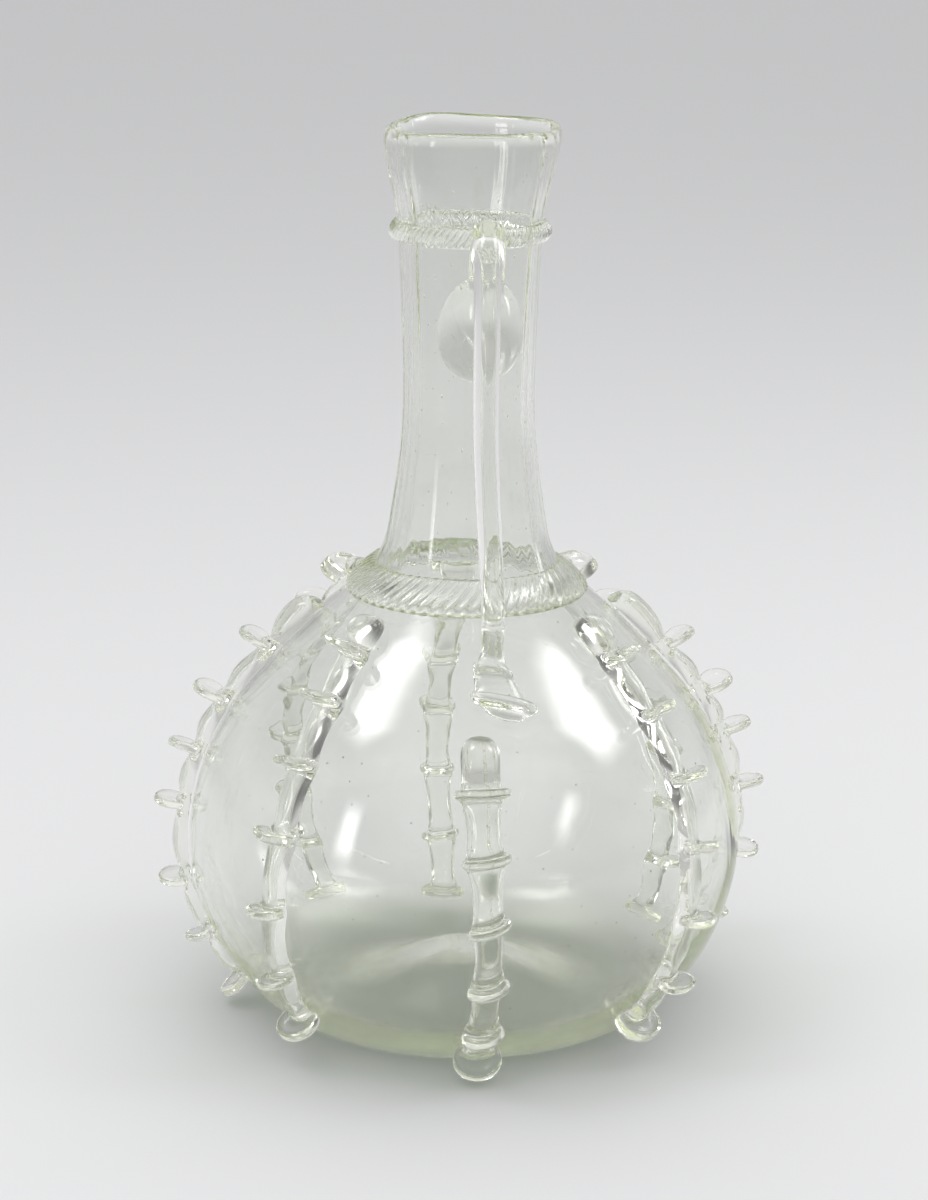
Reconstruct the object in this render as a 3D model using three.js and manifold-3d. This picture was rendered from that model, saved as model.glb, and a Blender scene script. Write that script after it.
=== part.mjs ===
// Handled carafe of free-blown glass: a globe body, a tall neck with a flared mouth, milled
// threads round neck and shoulder, a looped handle and eight pinched trails down the globe.
// Millimetres, +Z up. The origin is the centre of the foot on the table, the handle is at -Y.

import * as THREE from "three";
import { mergeVertices } from "three/addons/utils/BufferGeometryUtils.js";
import Module from "manifold-3d";

const wasm = await Module();
wasm.setup();

// Globe
const GLOBE_RADIUS = 78.75;
const EQUATOR_HEIGHT = 49.5;
const LOWER_ROUNDNESS = 1.7;
const LOWER_FULLNESS = 1.8;
const UPPER_BULGE = 74;
const SHOULDER_RISE = 48.5;

// Foot: a flat ring to stand on, round a pushed-up kick
const FOOT_RADIUS = 44;
const FOOT_LAND = 4;
const KICK_HEIGHT = 13;
const KICK_FLATNESS = 1.4;
const FLOOR_WALL = 4.6;

// Shoulder, neck and mouth, from the globe up
const SLOPE_RISE = 17;
const SLOPE_RADIUS = 43.3;
const COLLAR_RISE = 15.5;
const COLLAR_RADIUS = 26.2;
const NECK_FOOT_RISE = 10.5;
const NECK_FOOT_RADIUS = 22.3;
const WAIST_RISE = 37;
const WAIST_RADIUS = 18.3;
const THROAT_RISE = 46.8;
const THROAT_RADIUS = 19.9;
const MOUTH_RISE = 24.2;
const MOUTH_RADIUS = 24;
const RIM_RISE = 4;
const RIM_WALL = 3.4;
const RIM_SQUARENESS = 0.8;
const NECK_WALL = 2.4;
const GLOBE_WALL = 2;

// The rim is pulled out and up in two places: the lip on the far side, a little to the left of
// the handle's opposite, and a slight corner on the right
const PULL_DEPTH = 22;
const PULLS = [
  { turn: 207, reach: 1.8, lift: 0.8, sharpness: 9 },
  { turn: 100, reach: 1.3, lift: 0.9, sharpness: 12 },
];

// Glass laid on the body keeps this gap to it
const SEAT_GAP = 0.3;

// Milled thread round the neck
const NECK_THREAD_HEIGHT = 5;
const NECK_THREAD_STAND = 2.3;
const NECK_THREAD_NOTCHES = 68;
const NECK_THREAD_NOTCH_DEPTH = 0.6;
const NECK_THREAD_LEAN = 9;
const THREAD_SEAT_SHARE = 0.8;
const THREAD_CREST_SHARE = 0.6;
const THREAD_EDGE_STAND = 1.1;

// Milled collar on the shoulder
const COLLAR_WIDTH_UP = 1;
const COLLAR_WIDTH_DOWN = 7.4;
const COLLAR_STAND = 2.3;
const COLLAR_MIDDLE_STAND = 2;
const COLLAR_UPPER_STAND = 0.9;
const COLLAR_LOWER_STAND = 1.4;
const COLLAR_UPPER_EDGE = 0.04;
const COLLAR_CREST = 0.88;
const COLLAR_NOTCHES = 60;
const COLLAR_NOTCH_DEPTH = 0.7;
const COLLAR_LEAN = 14;

// Handle: a thick drop on the neck, a strap that loops out, falls to the shoulder and is pinched.
// It stands a little to the right of the front, by the sideways shifts given here.
const PAD_HEIGHT = 31;
const PAD_WIDTH = 24;
const PAD_THICKNESS = 5.6;
const PAD_DROP = 24;
const PAD_WRAP = 0.68;
const PAD_SHIFT = 1.8;
const STRAP_REACH = 46.4;
const STRAP_ROOT_DROP = 22.5;
const STRAP_TOP_RISE = 4.8;
const STRAP_THICKNESS = 7;

// The strap rises from the drop to its top, then falls to the shoulder. Each station has its
// share of the way out, its share of the rise or the fall, its sideways shift and its width.
const STRAP_RISE = [
  { out: -0.05, part: 0, shift: 2.6, width: 10.2 },
  { out: 0, part: 0.4, shift: 2.6, width: 10.2 },
  { out: 0.22, part: 0.76, shift: 2.6, width: 10.2 },
  { out: 0.6, part: 1, shift: 2, width: 9.4 },
];
const STRAP_FALL = [
  { out: 0.93, part: 0.054, shift: 1.3, width: 8.4 },
  { out: 1, part: 0.148, shift: 1.3, width: 7.4 },
  { out: 1, part: 0.5, shift: 1.3, width: 7.2 },
  { out: 1, part: 0.8, shift: 3, width: 7 },
];
const LANDING_SHIFT = 4.4;
const LANDING_WIDTH = 6.6;

// The tail widens down the shoulder from where the strap lands, and has one pinched fin near its
// end. Its sections are given by the length down, the width and the stand.
const TAIL_TURN = 5.8;
const TAIL_LANDING = 8;
const TAIL_FIN_DOWN = 29;
const TAIL_FIN_WIDTH = 17;
const TAIL_FIN_STAND = 6.4;
const TAIL_ABOVE_FIN = [
  { down: 5, width: 5.6, stand: 5.6 },
  { down: 10, width: 6.8, stand: 5.8 },
  { down: 17, width: 9.6, stand: 4.2 },
  { down: 23.5, width: 12, stand: 3.4 },
];
const TAIL_BELOW_FIN = [
  { down: 33.5, width: 11, stand: 2 },
  { down: 36, width: 6.6, stand: 1 },
];

// Pinched trails: each starts thick, is pinched into fins and ends in a toe above the foot.
// Lengths down a trail are measured on the body's outline from the collar's lower edge.
// A fin's foot is its whole length at the strap, its face the share of its size at its flat sides.
// A waist says how far up a section lies its widest part: low in a bead, high in a fin.
// The root swells from its tip by shares of its length, width and stand.
const TRAIL_WIDTH = 9.4;
const TRAIL_STAND_HIGH = 5.2;
const TRAIL_STAND_LOW = 4.2;
const TRAIL_DIP_STAND = 3;
const TRAIL_ROOT_STAND = 6.6;
const TRAIL_ROOT_WIDTH = 10.5;
const TRAIL_ROOT_LENGTH = 4;
const TRAIL_BOW = 0.88;
const ROOT_SWELL = [
  { down: 0, width: 0.45, stand: 0.35 },
  { down: 0.3, width: 0.85, stand: 0.8 },
  { down: 1, width: 1, stand: 1 },
];
const FIN_STAND_HIGH = 12.2;
const FIN_STAND_LOW = 9.2;
const FIN_THICKNESS = 3.6;
const FIN_FOOT = 6.1;
const FIN_FACE = 0.9;
const FIN_LEVELLING = 0.3;
const FIN_WAIST = 0.8;
const BEAD_WAIST = 0.25;
const TOE_WIDTH = 12.5;
const TOE_STAND = 9.2;

// The trails thin out between these lengths, from their high stands to their low ones
const THINNING_START = 30;
const THINNING_END = 118;

// Where each trail lies: its direction in degrees from the front towards +X, how far it swings
// aside by its toe, how many fins it has and how wide they are, and the lengths down to its root,
// first and last fin and toe. A spread above 1 sets the lower fins farther apart. No two trails
// are pinched alike.
const TRAILS = [
  {
    direction: 0, swing: 0, fins: 5, spread: 1, finWidth: 12.4,
    root: 38, firstFin: 54.5, lastFin: 122, toe: 134,
  },
  {
    direction: 50, swing: -8, fins: 6, spread: 1, finWidth: 9.8,
    root: 6, firstFin: 21, lastFin: 112.5, toe: 127,
  },
  {
    direction: 95, swing: 6, fins: 6, spread: 1.1, finWidth: 10.2,
    root: 9, firstFin: 31, lastFin: 118, toe: 133,
  },
  {
    direction: 135, swing: -14, fins: 7, spread: 1, finWidth: 10.4,
    root: 3, firstFin: 12, lastFin: 113, toe: 129,
  },
  {
    direction: 180, swing: 2, fins: 6, spread: 1, finWidth: 11,
    root: 5, firstFin: 18, lastFin: 114, toe: 131,
  },
  {
    direction: 225, swing: -11, fins: 7, spread: 1, finWidth: 10.4,
    root: 3, firstFin: 12, lastFin: 112, toe: 128,
  },
  {
    direction: 270, swing: 1, fins: 6, spread: 1, finWidth: 10.2,
    root: 8, firstFin: 27.5, lastFin: 117.5, toe: 134,
  },
  {
    direction: 315, swing: -1, fins: 6, spread: 1.1, finWidth: 11,
    root: 4.5, firstFin: 17, lastFin: 111, toe: 127,
  },
];

// Fineness of the faceted surfaces
const TURN_STEPS = 38;
const OUTSIDE_STEPS = [8, 5, 10, 11];
const INSIDE_STEPS = [4, 4, 4, 4];
const KICK_STEPS = 5;
const RIM_STEPS = 5;
const SECTION_POINTS = 8;
const STRAP_POINTS = 10;
const STRAP_STEPS = 30;
const PAD_STEPS = 16;
const PAD_ROWS = 12;

const DEG = Math.PI / 180;

// Heights that follow from the sizes above
const SHOULDER_HEIGHT = EQUATOR_HEIGHT + SHOULDER_RISE;
const SLOPE_HEIGHT = SHOULDER_HEIGHT + SLOPE_RISE;
const COLLAR_HEIGHT = SLOPE_HEIGHT + COLLAR_RISE;
const NECK_FOOT_HEIGHT = COLLAR_HEIGHT + NECK_FOOT_RISE;
const WAIST_HEIGHT = NECK_FOOT_HEIGHT + WAIST_RISE;
const THROAT_HEIGHT = WAIST_HEIGHT + THROAT_RISE;
const MOUTH_HEIGHT = THROAT_HEIGHT + MOUTH_RISE;
const RIM_HEIGHT = MOUTH_HEIGHT + RIM_RISE;

// Radius of the globe's own round at a height
function globeRadius(height) {
  if (height < EQUATOR_HEIGHT) {
    const fall = Math.min(1, (EQUATOR_HEIGHT - height) / EQUATOR_HEIGHT);
    const round = (1 - fall ** LOWER_ROUNDNESS) ** (1 / LOWER_FULLNESS);
    return FOOT_RADIUS + (GLOBE_RADIUS - FOOT_RADIUS) * round;
  }
  const rise = Math.min(0.99, (height - EQUATOR_HEIGHT) / UPPER_BULGE);
  return GLOBE_RADIUS * Math.sqrt(1 - rise * rise);
}

// Points that the outline passes above the globe's round
const KNOTS = [
  [SHOULDER_HEIGHT, globeRadius(SHOULDER_HEIGHT)],
  [SLOPE_HEIGHT, SLOPE_RADIUS],
  [COLLAR_HEIGHT, COLLAR_RADIUS],
  [NECK_FOOT_HEIGHT, NECK_FOOT_RADIUS],
  [WAIST_HEIGHT, WAIST_RADIUS],
  [THROAT_HEIGHT, THROAT_RADIUS],
  [MOUTH_HEIGHT, MOUTH_RADIUS],
];

function knotSlope(index) {
  const [height, radius] = KNOTS[index];
  if (index === 0) {
    const step = 0.01;
    return (radius - globeRadius(height - step)) / step;
  }
  const before = (radius - KNOTS[index - 1][1]) / (height - KNOTS[index - 1][0]);
  if (index === KNOTS.length - 1) {
    return before / 2;
  }
  const after = (KNOTS[index + 1][1] - radius) / (KNOTS[index + 1][0] - height);
  return before * after <= 0 ? 0 : (2 * before * after) / (before + after);
}

// Outer radius of the body at a height: the globe, then a smooth curve through the knots
function outerRadius(height) {
  if (height <= SHOULDER_HEIGHT) {
    return globeRadius(Math.max(0, height));
  }
  let index = 0;
  while (index < KNOTS.length - 2 && height > KNOTS[index + 1][0]) {
    index += 1;
  }
  const [lowHeight, lowRadius] = KNOTS[index];
  const [highHeight, highRadius] = KNOTS[index + 1];
  const span = highHeight - lowHeight;
  const t = Math.min(1, (height - lowHeight) / span);
  const bend = t * t * (3 - 2 * t);
  const leave = t * (1 - t) * (1 - t) * span * knotSlope(index);
  const arrive = t * t * (t - 1) * span * knotSlope(index + 1);
  return lowRadius + (highRadius - lowRadius) * bend + leave + arrive;
}

// The outline's outward direction at a height, as radius and height parts
function outerNormal(height) {
  const step = 0.05;
  const low = Math.max(0, height - step);
  const run = outerRadius(height + step) - outerRadius(low);
  return new THREE.Vector2(height + step - low, -run).normalize();
}

// Outline of the body from the collar's lower edge down, with the length from there to each point
function measureOutline() {
  const points = [];
  const steps = 400;
  const top = COLLAR_HEIGHT - COLLAR_WIDTH_DOWN;
  for (let i = 0; i <= steps; i += 1) {
    const height = top * (1 - i / steps) ** 2 * (1 + (2 * i) / steps);
    points.push({ height, radius: outerRadius(height), length: 0 });
    if (i > 0) {
      const last = points[i - 1];
      const step = Math.hypot(last.radius - points[i].radius, last.height - height);
      points[i].length = last.length + step;
    }
  }
  return points;
}

const OUTLINE = measureOutline();

function heightAtLength(length) {
  const index = OUTLINE.findIndex((point) => point.length >= length);
  if (index <= 0) {
    return index < 0 ? 0 : OUTLINE[0].height - length;
  }
  const low = OUTLINE[index - 1];
  const high = OUTLINE[index];
  const part = (length - low.length) / (high.length - low.length);
  return low.height + (high.height - low.height) * part;
}

// A point beside the outline: length down it, height off it, and a slant towards the level
function outlinePoint(length, off, levelling) {
  const height = heightAtLength(length);
  const normal = outerNormal(height);
  const rise = Math.atan2(normal.y, normal.x);
  const lean = rise * (1 - levelling);
  return new THREE.Vector2(
    outerRadius(height) + off * Math.cos(lean),
    height + off * Math.sin(lean),
  );
}

// Turns a point given by radius, height and a sideways shift to a direction round the axis.
// Direction 0 faces -Y and directions grow towards +X.
function place(radius, height, shift, direction) {
  const turn = direction * DEG;
  return new THREE.Vector3(
    radius * Math.sin(turn) + shift * Math.cos(turn),
    -radius * Math.cos(turn) + shift * Math.sin(turn),
    height,
  );
}

// Six times the volume inside a closed skin, negative where its faces point inwards
function signedVolume(points, faces) {
  let sum = 0;
  for (let i = 0; i < faces.length; i += 3) {
    const [a, b, c] = [points[faces[i]], points[faces[i + 1]], points[faces[i + 2]]];
    sum += new THREE.Vector3().crossVectors(a, b).dot(c);
  }
  return sum;
}

// Closed skin over a row of rings with equal counts of points; the ends are closed by fans,
// or the last ring joins the first
function skin(rings, joined) {
  const count = rings[0].length;
  const points = rings.flat();
  const faces = [];
  const spans = joined ? rings.length : rings.length - 1;
  for (let i = 0; i < spans; i += 1) {
    const here = i * count;
    const next = ((i + 1) % rings.length) * count;
    for (let k = 0; k < count; k += 1) {
      const beside = (k + 1) % count;
      faces.push(here + k, next + k, next + beside);
      faces.push(here + k, next + beside, here + beside);
    }
  }
  if (!joined) {
    const last = (rings.length - 1) * count;
    for (let k = 1; k < count - 1; k += 1) {
      faces.push(0, k, k + 1);
      faces.push(last, last + k + 1, last + k);
    }
  }
  if (signedVolume(points, faces) < 0) {
    faces.reverse();
  }
  const positions = points.flatMap((point) => point.toArray());
  const geometry = new THREE.BufferGeometry();
  geometry.setAttribute("position", new THREE.Float32BufferAttribute(positions, 3));
  geometry.setIndex(faces);
  return geometry;
}

function toSolid(geometry) {
  const bare = geometry.clone();
  bare.deleteAttribute("normal");
  bare.deleteAttribute("uv");
  const merged = mergeVertices(bare, 1e-4);
  return new wasm.Manifold(new wasm.Mesh({
    numProp: 3,
    vertProperties: new Float32Array(merged.attributes.position.array),
    triVerts: new Uint32Array(merged.index.array),
  }));
}

function toGeometry(solid) {
  const mesh = solid.getMesh();
  const geometry = new THREE.BufferGeometry();
  geometry.setAttribute("position", new THREE.BufferAttribute(mesh.vertProperties, 3));
  geometry.setIndex(new THREE.BufferAttribute(mesh.triVerts, 1));
  return geometry;
}

// Heights with close steps where the outline bends, from the foot to the mouth
function outlineHeights(lowerSteps, upperSteps, slopeSteps, neckSteps) {
  const heights = [];
  for (let i = 1; i <= lowerSteps; i += 1) {
    heights.push(EQUATOR_HEIGHT * (1 - Math.cos((i / lowerSteps) * 90 * DEG)));
  }
  for (let i = 1; i <= upperSteps; i += 1) {
    heights.push(EQUATOR_HEIGHT + SHOULDER_RISE * Math.sin((i / upperSteps) * 90 * DEG));
  }
  for (let i = 1; i <= slopeSteps; i += 1) {
    heights.push(SHOULDER_HEIGHT + (NECK_FOOT_HEIGHT - SHOULDER_HEIGHT) * (i / slopeSteps));
  }
  for (let i = 1; i <= neckSteps; i += 1) {
    heights.push(NECK_FOOT_HEIGHT + (MOUTH_HEIGHT - NECK_FOOT_HEIGHT) * (i / neckSteps));
  }
  return heights;
}

function kickHeight(radius) {
  const part = Math.min(1, radius / (FOOT_RADIUS - FOOT_LAND));
  return (KICK_HEIGHT * (1 + Math.cos(Math.PI * part ** KICK_FLATNESS))) / 2;
}

// Thickness of the wall at a height: thick in the floor, thin in the globe, firmer in the neck
function wallAt(height) {
  if (height < EQUATOR_HEIGHT) {
    const fall = 1 - height / EQUATOR_HEIGHT;
    return GLOBE_WALL + (FLOOR_WALL - GLOBE_WALL) * fall ** 3;
  }
  const up = (height - EQUATOR_HEIGHT) / (NECK_FOOT_HEIGHT - EQUATOR_HEIGHT);
  const part = THREE.MathUtils.clamp(up, 0, 1);
  return GLOBE_WALL + (NECK_WALL - GLOBE_WALL) * part;
}

// Outline of the glass wall: under the kick, up the outside, over the rim, down the inside
function vesselOutline() {
  const inner = FOOT_RADIUS - FOOT_LAND;
  const under = [];
  for (let i = 0; i <= KICK_STEPS; i += 1) {
    const radius = (inner * i) / KICK_STEPS;
    under.push(new THREE.Vector2(radius, kickHeight(radius)));
  }
  under.push(new THREE.Vector2(FOOT_RADIUS, 0));
  const outside = outlineHeights(...OUTSIDE_STEPS).map(
    (height) => new THREE.Vector2(outerRadius(height), height),
  );
  const rim = [];
  const rimMiddle = MOUTH_RADIUS - RIM_WALL / 2;
  for (let i = 1; i < RIM_STEPS; i += 1) {
    const turn = (i / RIM_STEPS) * Math.PI;
    rim.push(new THREE.Vector2(
      rimMiddle + (RIM_WALL / 2) * Math.cos(turn),
      MOUTH_HEIGHT + RIM_RISE * Math.sin(turn) ** RIM_SQUARENESS,
    ));
  }
  rim.push(new THREE.Vector2(MOUTH_RADIUS - RIM_WALL, MOUTH_HEIGHT));
  const inside = outlineHeights(...INSIDE_STEPS).slice(0, -1).reverse().map((height) => {
    const normal = outerNormal(height);
    const wall = wallAt(height);
    return new THREE.Vector2(
      outerRadius(height) - normal.x * wall,
      height - normal.y * wall,
    );
  });
  const floor = under.slice().reverse().map(
    (point) => new THREE.Vector2(point.x, point.y + FLOOR_WALL),
  );
  return [...under, ...outside, ...rim, ...inside, ...floor];
}

// Pulls the rim out and up at its lip and its corner, less and less down the neck
function pullRim(point) {
  const depth = THREE.MathUtils.clamp((point.z - RIM_HEIGHT + PULL_DEPTH) / PULL_DEPTH, 0, 1);
  const direction = Math.atan2(point.x, -point.y) / DEG;
  let out = 0;
  let up = 0;
  PULLS.forEach(({ turn, reach, lift, sharpness }) => {
    const aside = Math.cos((direction - turn) * DEG);
    const pull = depth ** 2 * Math.exp(sharpness * (aside - 1));
    out += reach * pull;
    up += lift * pull;
  });
  const radius = Math.hypot(point.x, point.y);
  const grown = radius > 0 ? (radius + out) / radius : 1;
  return new THREE.Vector3(point.x * grown, point.y * grown, point.z + up);
}

function makeVessel() {
  const geometry = new THREE.LatheGeometry(vesselOutline(), TURN_STEPS);
  geometry.rotateX(90 * DEG);
  const position = geometry.attributes.position;
  for (let i = 0; i < position.count; i += 1) {
    const moved = pullRim(new THREE.Vector3().fromBufferAttribute(position, i));
    position.setXYZ(i, moved.x, moved.y, moved.z);
  }
  return geometry;
}

// A milled band laid round the body. Its section is a list of points, each with a height on the
// body, a stand off the seat and how far down the band it lies; notched points dip in turn.
function milledBand(section, notches, notchDepth, lean) {
  const steps = notches * 2;
  const rings = [];
  for (let i = 0; i < steps; i += 1) {
    const direction = (360 * i) / steps;
    rings.push(section.map((part) => {
      const dip = part.notched && i % 2 === 1 ? notchDepth : 0;
      const normal = outerNormal(part.height);
      const off = SEAT_GAP + part.stand - dip;
      const turned = direction + lean * (0.5 - part.down);
      const radius = outerRadius(part.height) + normal.x * off;
      return place(radius, part.height + normal.y * off, 0, turned);
    }));
  }
  return skin(rings, true);
}

function makeNeckThread() {
  const middle = THROAT_HEIGHT;
  const half = NECK_THREAD_HEIGHT / 2;
  const part = (up, stand, notched) => ({
    height: middle + up * half,
    stand,
    notched,
    down: (1 - up) / 2,
  });
  const section = [
    part(-THREAD_SEAT_SHARE, 0, false),
    part(THREAD_SEAT_SHARE, 0, false),
    part(1, THREAD_EDGE_STAND, false),
    part(THREAD_CREST_SHARE, NECK_THREAD_STAND, true),
    part(-THREAD_CREST_SHARE, NECK_THREAD_STAND, true),
    part(-1, THREAD_EDGE_STAND, false),
  ];
  return milledBand(section, NECK_THREAD_NOTCHES, NECK_THREAD_NOTCH_DEPTH, NECK_THREAD_LEAN);
}

function makeShoulderCollar() {
  const top = COLLAR_HEIGHT + COLLAR_WIDTH_UP;
  const width = COLLAR_WIDTH_UP + COLLAR_WIDTH_DOWN;
  const part = (down, stand, notched) => ({ height: top - down * width, stand, notched, down });
  const section = [
    part(1, 0, false),
    part(0.5, 0, false),
    part(0, 0, false),
    part(COLLAR_UPPER_EDGE, COLLAR_UPPER_STAND, false),
    part(0.5, COLLAR_MIDDLE_STAND, true),
    part(COLLAR_CREST, COLLAR_STAND, true),
    part(1, COLLAR_LOWER_STAND, false),
  ];
  return milledBand(section, COLLAR_NOTCHES, COLLAR_NOTCH_DEPTH, COLLAR_LEAN);
}

// One ring of a trail: an ellipse cut flat by its seat. The waist says how far the widest
// part lies up the section, 0 for a bead and near 1 for a fin on a narrow root.
function trailRing(stop, direction) {
  const { length, width, stand, waist, levelling } = stop;
  const half = stand / (1 + waist);
  const start = -Math.asin(waist);
  const sweep = Math.PI - 2 * start;
  const ring = [];
  for (let k = 0; k < SECTION_POINTS; k += 1) {
    const turn = start + (sweep * k) / (SECTION_POINTS - 1);
    const up = waist * half + half * Math.sin(turn);
    const point = outlinePoint(length, SEAT_GAP + up, levelling);
    const flat = outlinePoint(length, SEAT_GAP + up, 0);
    const tilt = up / stand;
    const radius = THREE.MathUtils.lerp(flat.x, point.x, tilt);
    const height = THREE.MathUtils.lerp(flat.y, point.y, tilt);
    ring.push(place(radius, height, (width / 2) * Math.cos(turn), direction));
  }
  return ring;
}

function bead(length, width, stand) {
  return { length, width, stand, waist: BEAD_WAIST, levelling: FIN_LEVELLING };
}

function paddle(length, width, stand) {
  return { length, width, stand, waist: FIN_WAIST, levelling: FIN_LEVELLING };
}

// The stops of one pinched fin, from its upper foot over its flat tongue to its lower foot
function finStops(length, width, stand) {
  const face = FIN_THICKNESS / 2;
  const foot = FIN_FOOT / 2;
  return [
    bead(length - foot, TRAIL_WIDTH, TRAIL_DIP_STAND),
    paddle(length - face, width * FIN_FACE, stand * FIN_FACE),
    paddle(length, width, stand),
    paddle(length + face, width * FIN_FACE, stand * FIN_FACE),
    bead(length + foot, TRAIL_WIDTH, TRAIL_DIP_STAND),
  ];
}

// A stand that thins out down the globe
function thinned(high, low, length) {
  const part = (length - THINNING_START) / (THINNING_END - THINNING_START);
  return THREE.MathUtils.lerp(high, low, THREE.MathUtils.clamp(part, 0, 1));
}

// Stops of a whole trail: a thick root, fins with a bowed strap between them, and a toe
function trailStops({ root, firstFin, lastFin, toe, fins, spread, finWidth }) {
  const hump = (root + TRAIL_ROOT_LENGTH + firstFin - FIN_FOOT / 2) / 2;
  const stops = ROOT_SWELL.map(({ down, width, stand }) => {
    const length = root + TRAIL_ROOT_LENGTH * down;
    return bead(length, TRAIL_ROOT_WIDTH * width, TRAIL_ROOT_STAND * stand);
  });
  const humpStand = (TRAIL_ROOT_STAND + TRAIL_STAND_HIGH) / 2;
  stops.push(bead(hump, (TRAIL_ROOT_WIDTH + TRAIL_WIDTH) / 2, humpStand));
  const finAt = (i) => firstFin + (lastFin - firstFin) * (i / (fins - 1)) ** spread;
  for (let i = 0; i < fins; i += 1) {
    const length = finAt(i);
    const between = (length + (i === fins - 1 ? toe : finAt(i + 1))) / 2;
    const bowStand = thinned(TRAIL_STAND_HIGH, TRAIL_STAND_LOW, between);
    const stand = thinned(FIN_STAND_HIGH, FIN_STAND_LOW, length);
    stops.push(...finStops(length, finWidth, stand));
    stops.push(bead(between, TRAIL_WIDTH * TRAIL_BOW, bowStand));
  }
  stops.push(...finStops(toe, TOE_WIDTH, TOE_STAND).slice(0, -1));
  return stops;
}

function makeTrail(trail) {
  const rings = trailStops(trail).map((stop) => {
    const down = (stop.length - trail.root) / (trail.toe - trail.root);
    return trailRing(stop, trail.direction + trail.swing * down);
  });
  return skin(rings, false);
}

// Centre line of the strap: distance to the front, height, sideways shift and width
function strapStations() {
  const top = THROAT_HEIGHT + STRAP_TOP_RISE;
  const root = THROAT_HEIGHT - STRAP_ROOT_DROP;
  const start = outerRadius(root) + STRAP_THICKNESS / 2;
  const landing = outlinePoint(TAIL_LANDING, STRAP_THICKNESS / 2, 0);
  const station = ({ out, shift, width }, height) => ({
    ahead: THREE.MathUtils.lerp(start, STRAP_REACH, out),
    height,
    shift,
    width,
  });
  return [
    ...STRAP_RISE.map((at) => station(at, THREE.MathUtils.lerp(root, top, at.part))),
    ...STRAP_FALL.map((at) => station(at, THREE.MathUtils.lerp(top, landing.y, at.part))),
    { ahead: landing.x, height: landing.y, shift: LANDING_SHIFT, width: LANDING_WIDTH },
  ];
}

function makeStrap() {
  const stations = strapStations();
  const line = new THREE.CatmullRomCurve3(
    stations.map((at) => new THREE.Vector3(at.shift, -at.ahead, at.height)),
    false,
    "centripetal",
  );
  const across = new THREE.Vector3(1, 0, 0);
  const steps = STRAP_STEPS;
  const rings = [];
  for (let i = 0; i <= steps; i += 1) {
    const t = i / steps;
    const middle = line.getPoint(t);
    const outward = new THREE.Vector3().crossVectors(line.getTangent(t), across).normalize();
    const along = t * (stations.length - 1);
    const low = Math.min(stations.length - 2, Math.floor(along));
    const width = THREE.MathUtils.lerp(stations[low].width, stations[low + 1].width, along - low);
    const ring = [];
    for (let k = 0; k < STRAP_POINTS; k += 1) {
      const turn = (2 * Math.PI * k) / STRAP_POINTS;
      const point = middle.clone();
      point.addScaledVector(across, (width / 2) * Math.cos(turn));
      point.addScaledVector(outward, (STRAP_THICKNESS / 2) * Math.sin(turn));
      ring.push(point);
    }
    rings.push(ring);
  }
  return skin(rings, false);
}

// The drop of glass that holds the strap to the neck: an egg sunk in the neck until its edge
// meets the wall at the width and height given
function makePad() {
  const middle = THROAT_HEIGHT - PAD_DROP;
  const neck = outerRadius(middle);
  const sunk = neck * PAD_WRAP;
  const deep = neck - sunk + PAD_THICKNESS;
  const side = PAD_WIDTH / 2;
  const wall = Math.sqrt(Math.max(0, neck * neck - side * side));
  const sideReach = side / Math.sqrt(Math.max(0.1, 1 - ((wall - sunk) / deep) ** 2));
  const upReach = PAD_HEIGHT / 2 / Math.sqrt(1 - ((neck - sunk) / deep) ** 2);
  const geometry = new THREE.SphereGeometry(1, PAD_STEPS, PAD_ROWS);
  geometry.rotateX(90 * DEG);
  geometry.scale(sideReach, deep, upReach);
  geometry.translate(PAD_SHIFT, -sunk, middle);
  return geometry;
}

// The tail runs down the shoulder from where the strap lands
function makeTail() {
  const section = ({ down, width, stand }) => bead(down, width, stand);
  const stops = [
    ...TAIL_ABOVE_FIN.map(section),
    ...finStops(TAIL_FIN_DOWN, TAIL_FIN_WIDTH, TAIL_FIN_STAND),
    ...TAIL_BELOW_FIN.map(section),
  ];
  return skin(stops.map((stop) => trailRing(stop, TAIL_TURN)), false);
}

// The space that the body takes up, grown by the seat's gap
function bodyEnvelope() {
  const outline = outlineHeights(...OUTSIDE_STEPS).map((height) => {
    const normal = outerNormal(height);
    return new THREE.Vector2(
      outerRadius(height) + normal.x * SEAT_GAP,
      height + normal.y * SEAT_GAP,
    );
  });
  const low = outline[0].y;
  const high = outline.at(-1).y;
  const closed = [new THREE.Vector2(0, low), ...outline, new THREE.Vector2(0, high)];
  const geometry = new THREE.LatheGeometry(closed, TURN_STEPS);
  geometry.rotateX(90 * DEG);
  return toSolid(geometry);
}

function makeHandle() {
  const glass = toSolid(makeStrap()).add(toSolid(makePad())).add(toSolid(makeTail()));
  return toGeometry(glass.subtract(bodyEnvelope()));
}

const CLEAR_GLASS = { color: 0xdfe6da, roughness: 0.05, metalness: 0 };
const THICK_GLASS = { color: 0xcfdcc6, roughness: 0.06, metalness: 0 };

function addPiece(group, name, geometry, finish) {
  const mesh = new THREE.Mesh(geometry, new THREE.MeshStandardMaterial(finish));
  mesh.name = name;
  group.add(mesh);
}

const carafe = new THREE.Group();
carafe.name = "carafe";
addPiece(carafe, "blown_body", makeVessel(), CLEAR_GLASS);
addPiece(carafe, "neck_thread", makeNeckThread(), THICK_GLASS);
addPiece(carafe, "shoulder_collar", makeShoulderCollar(), THICK_GLASS);
addPiece(carafe, "handle", makeHandle(), CLEAR_GLASS);
TRAILS.forEach((trail, index) => {
  addPiece(carafe, `pinched_trail_${index + 1}`, makeTrail(trail), THICK_GLASS);
});

export default carafe;
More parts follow.
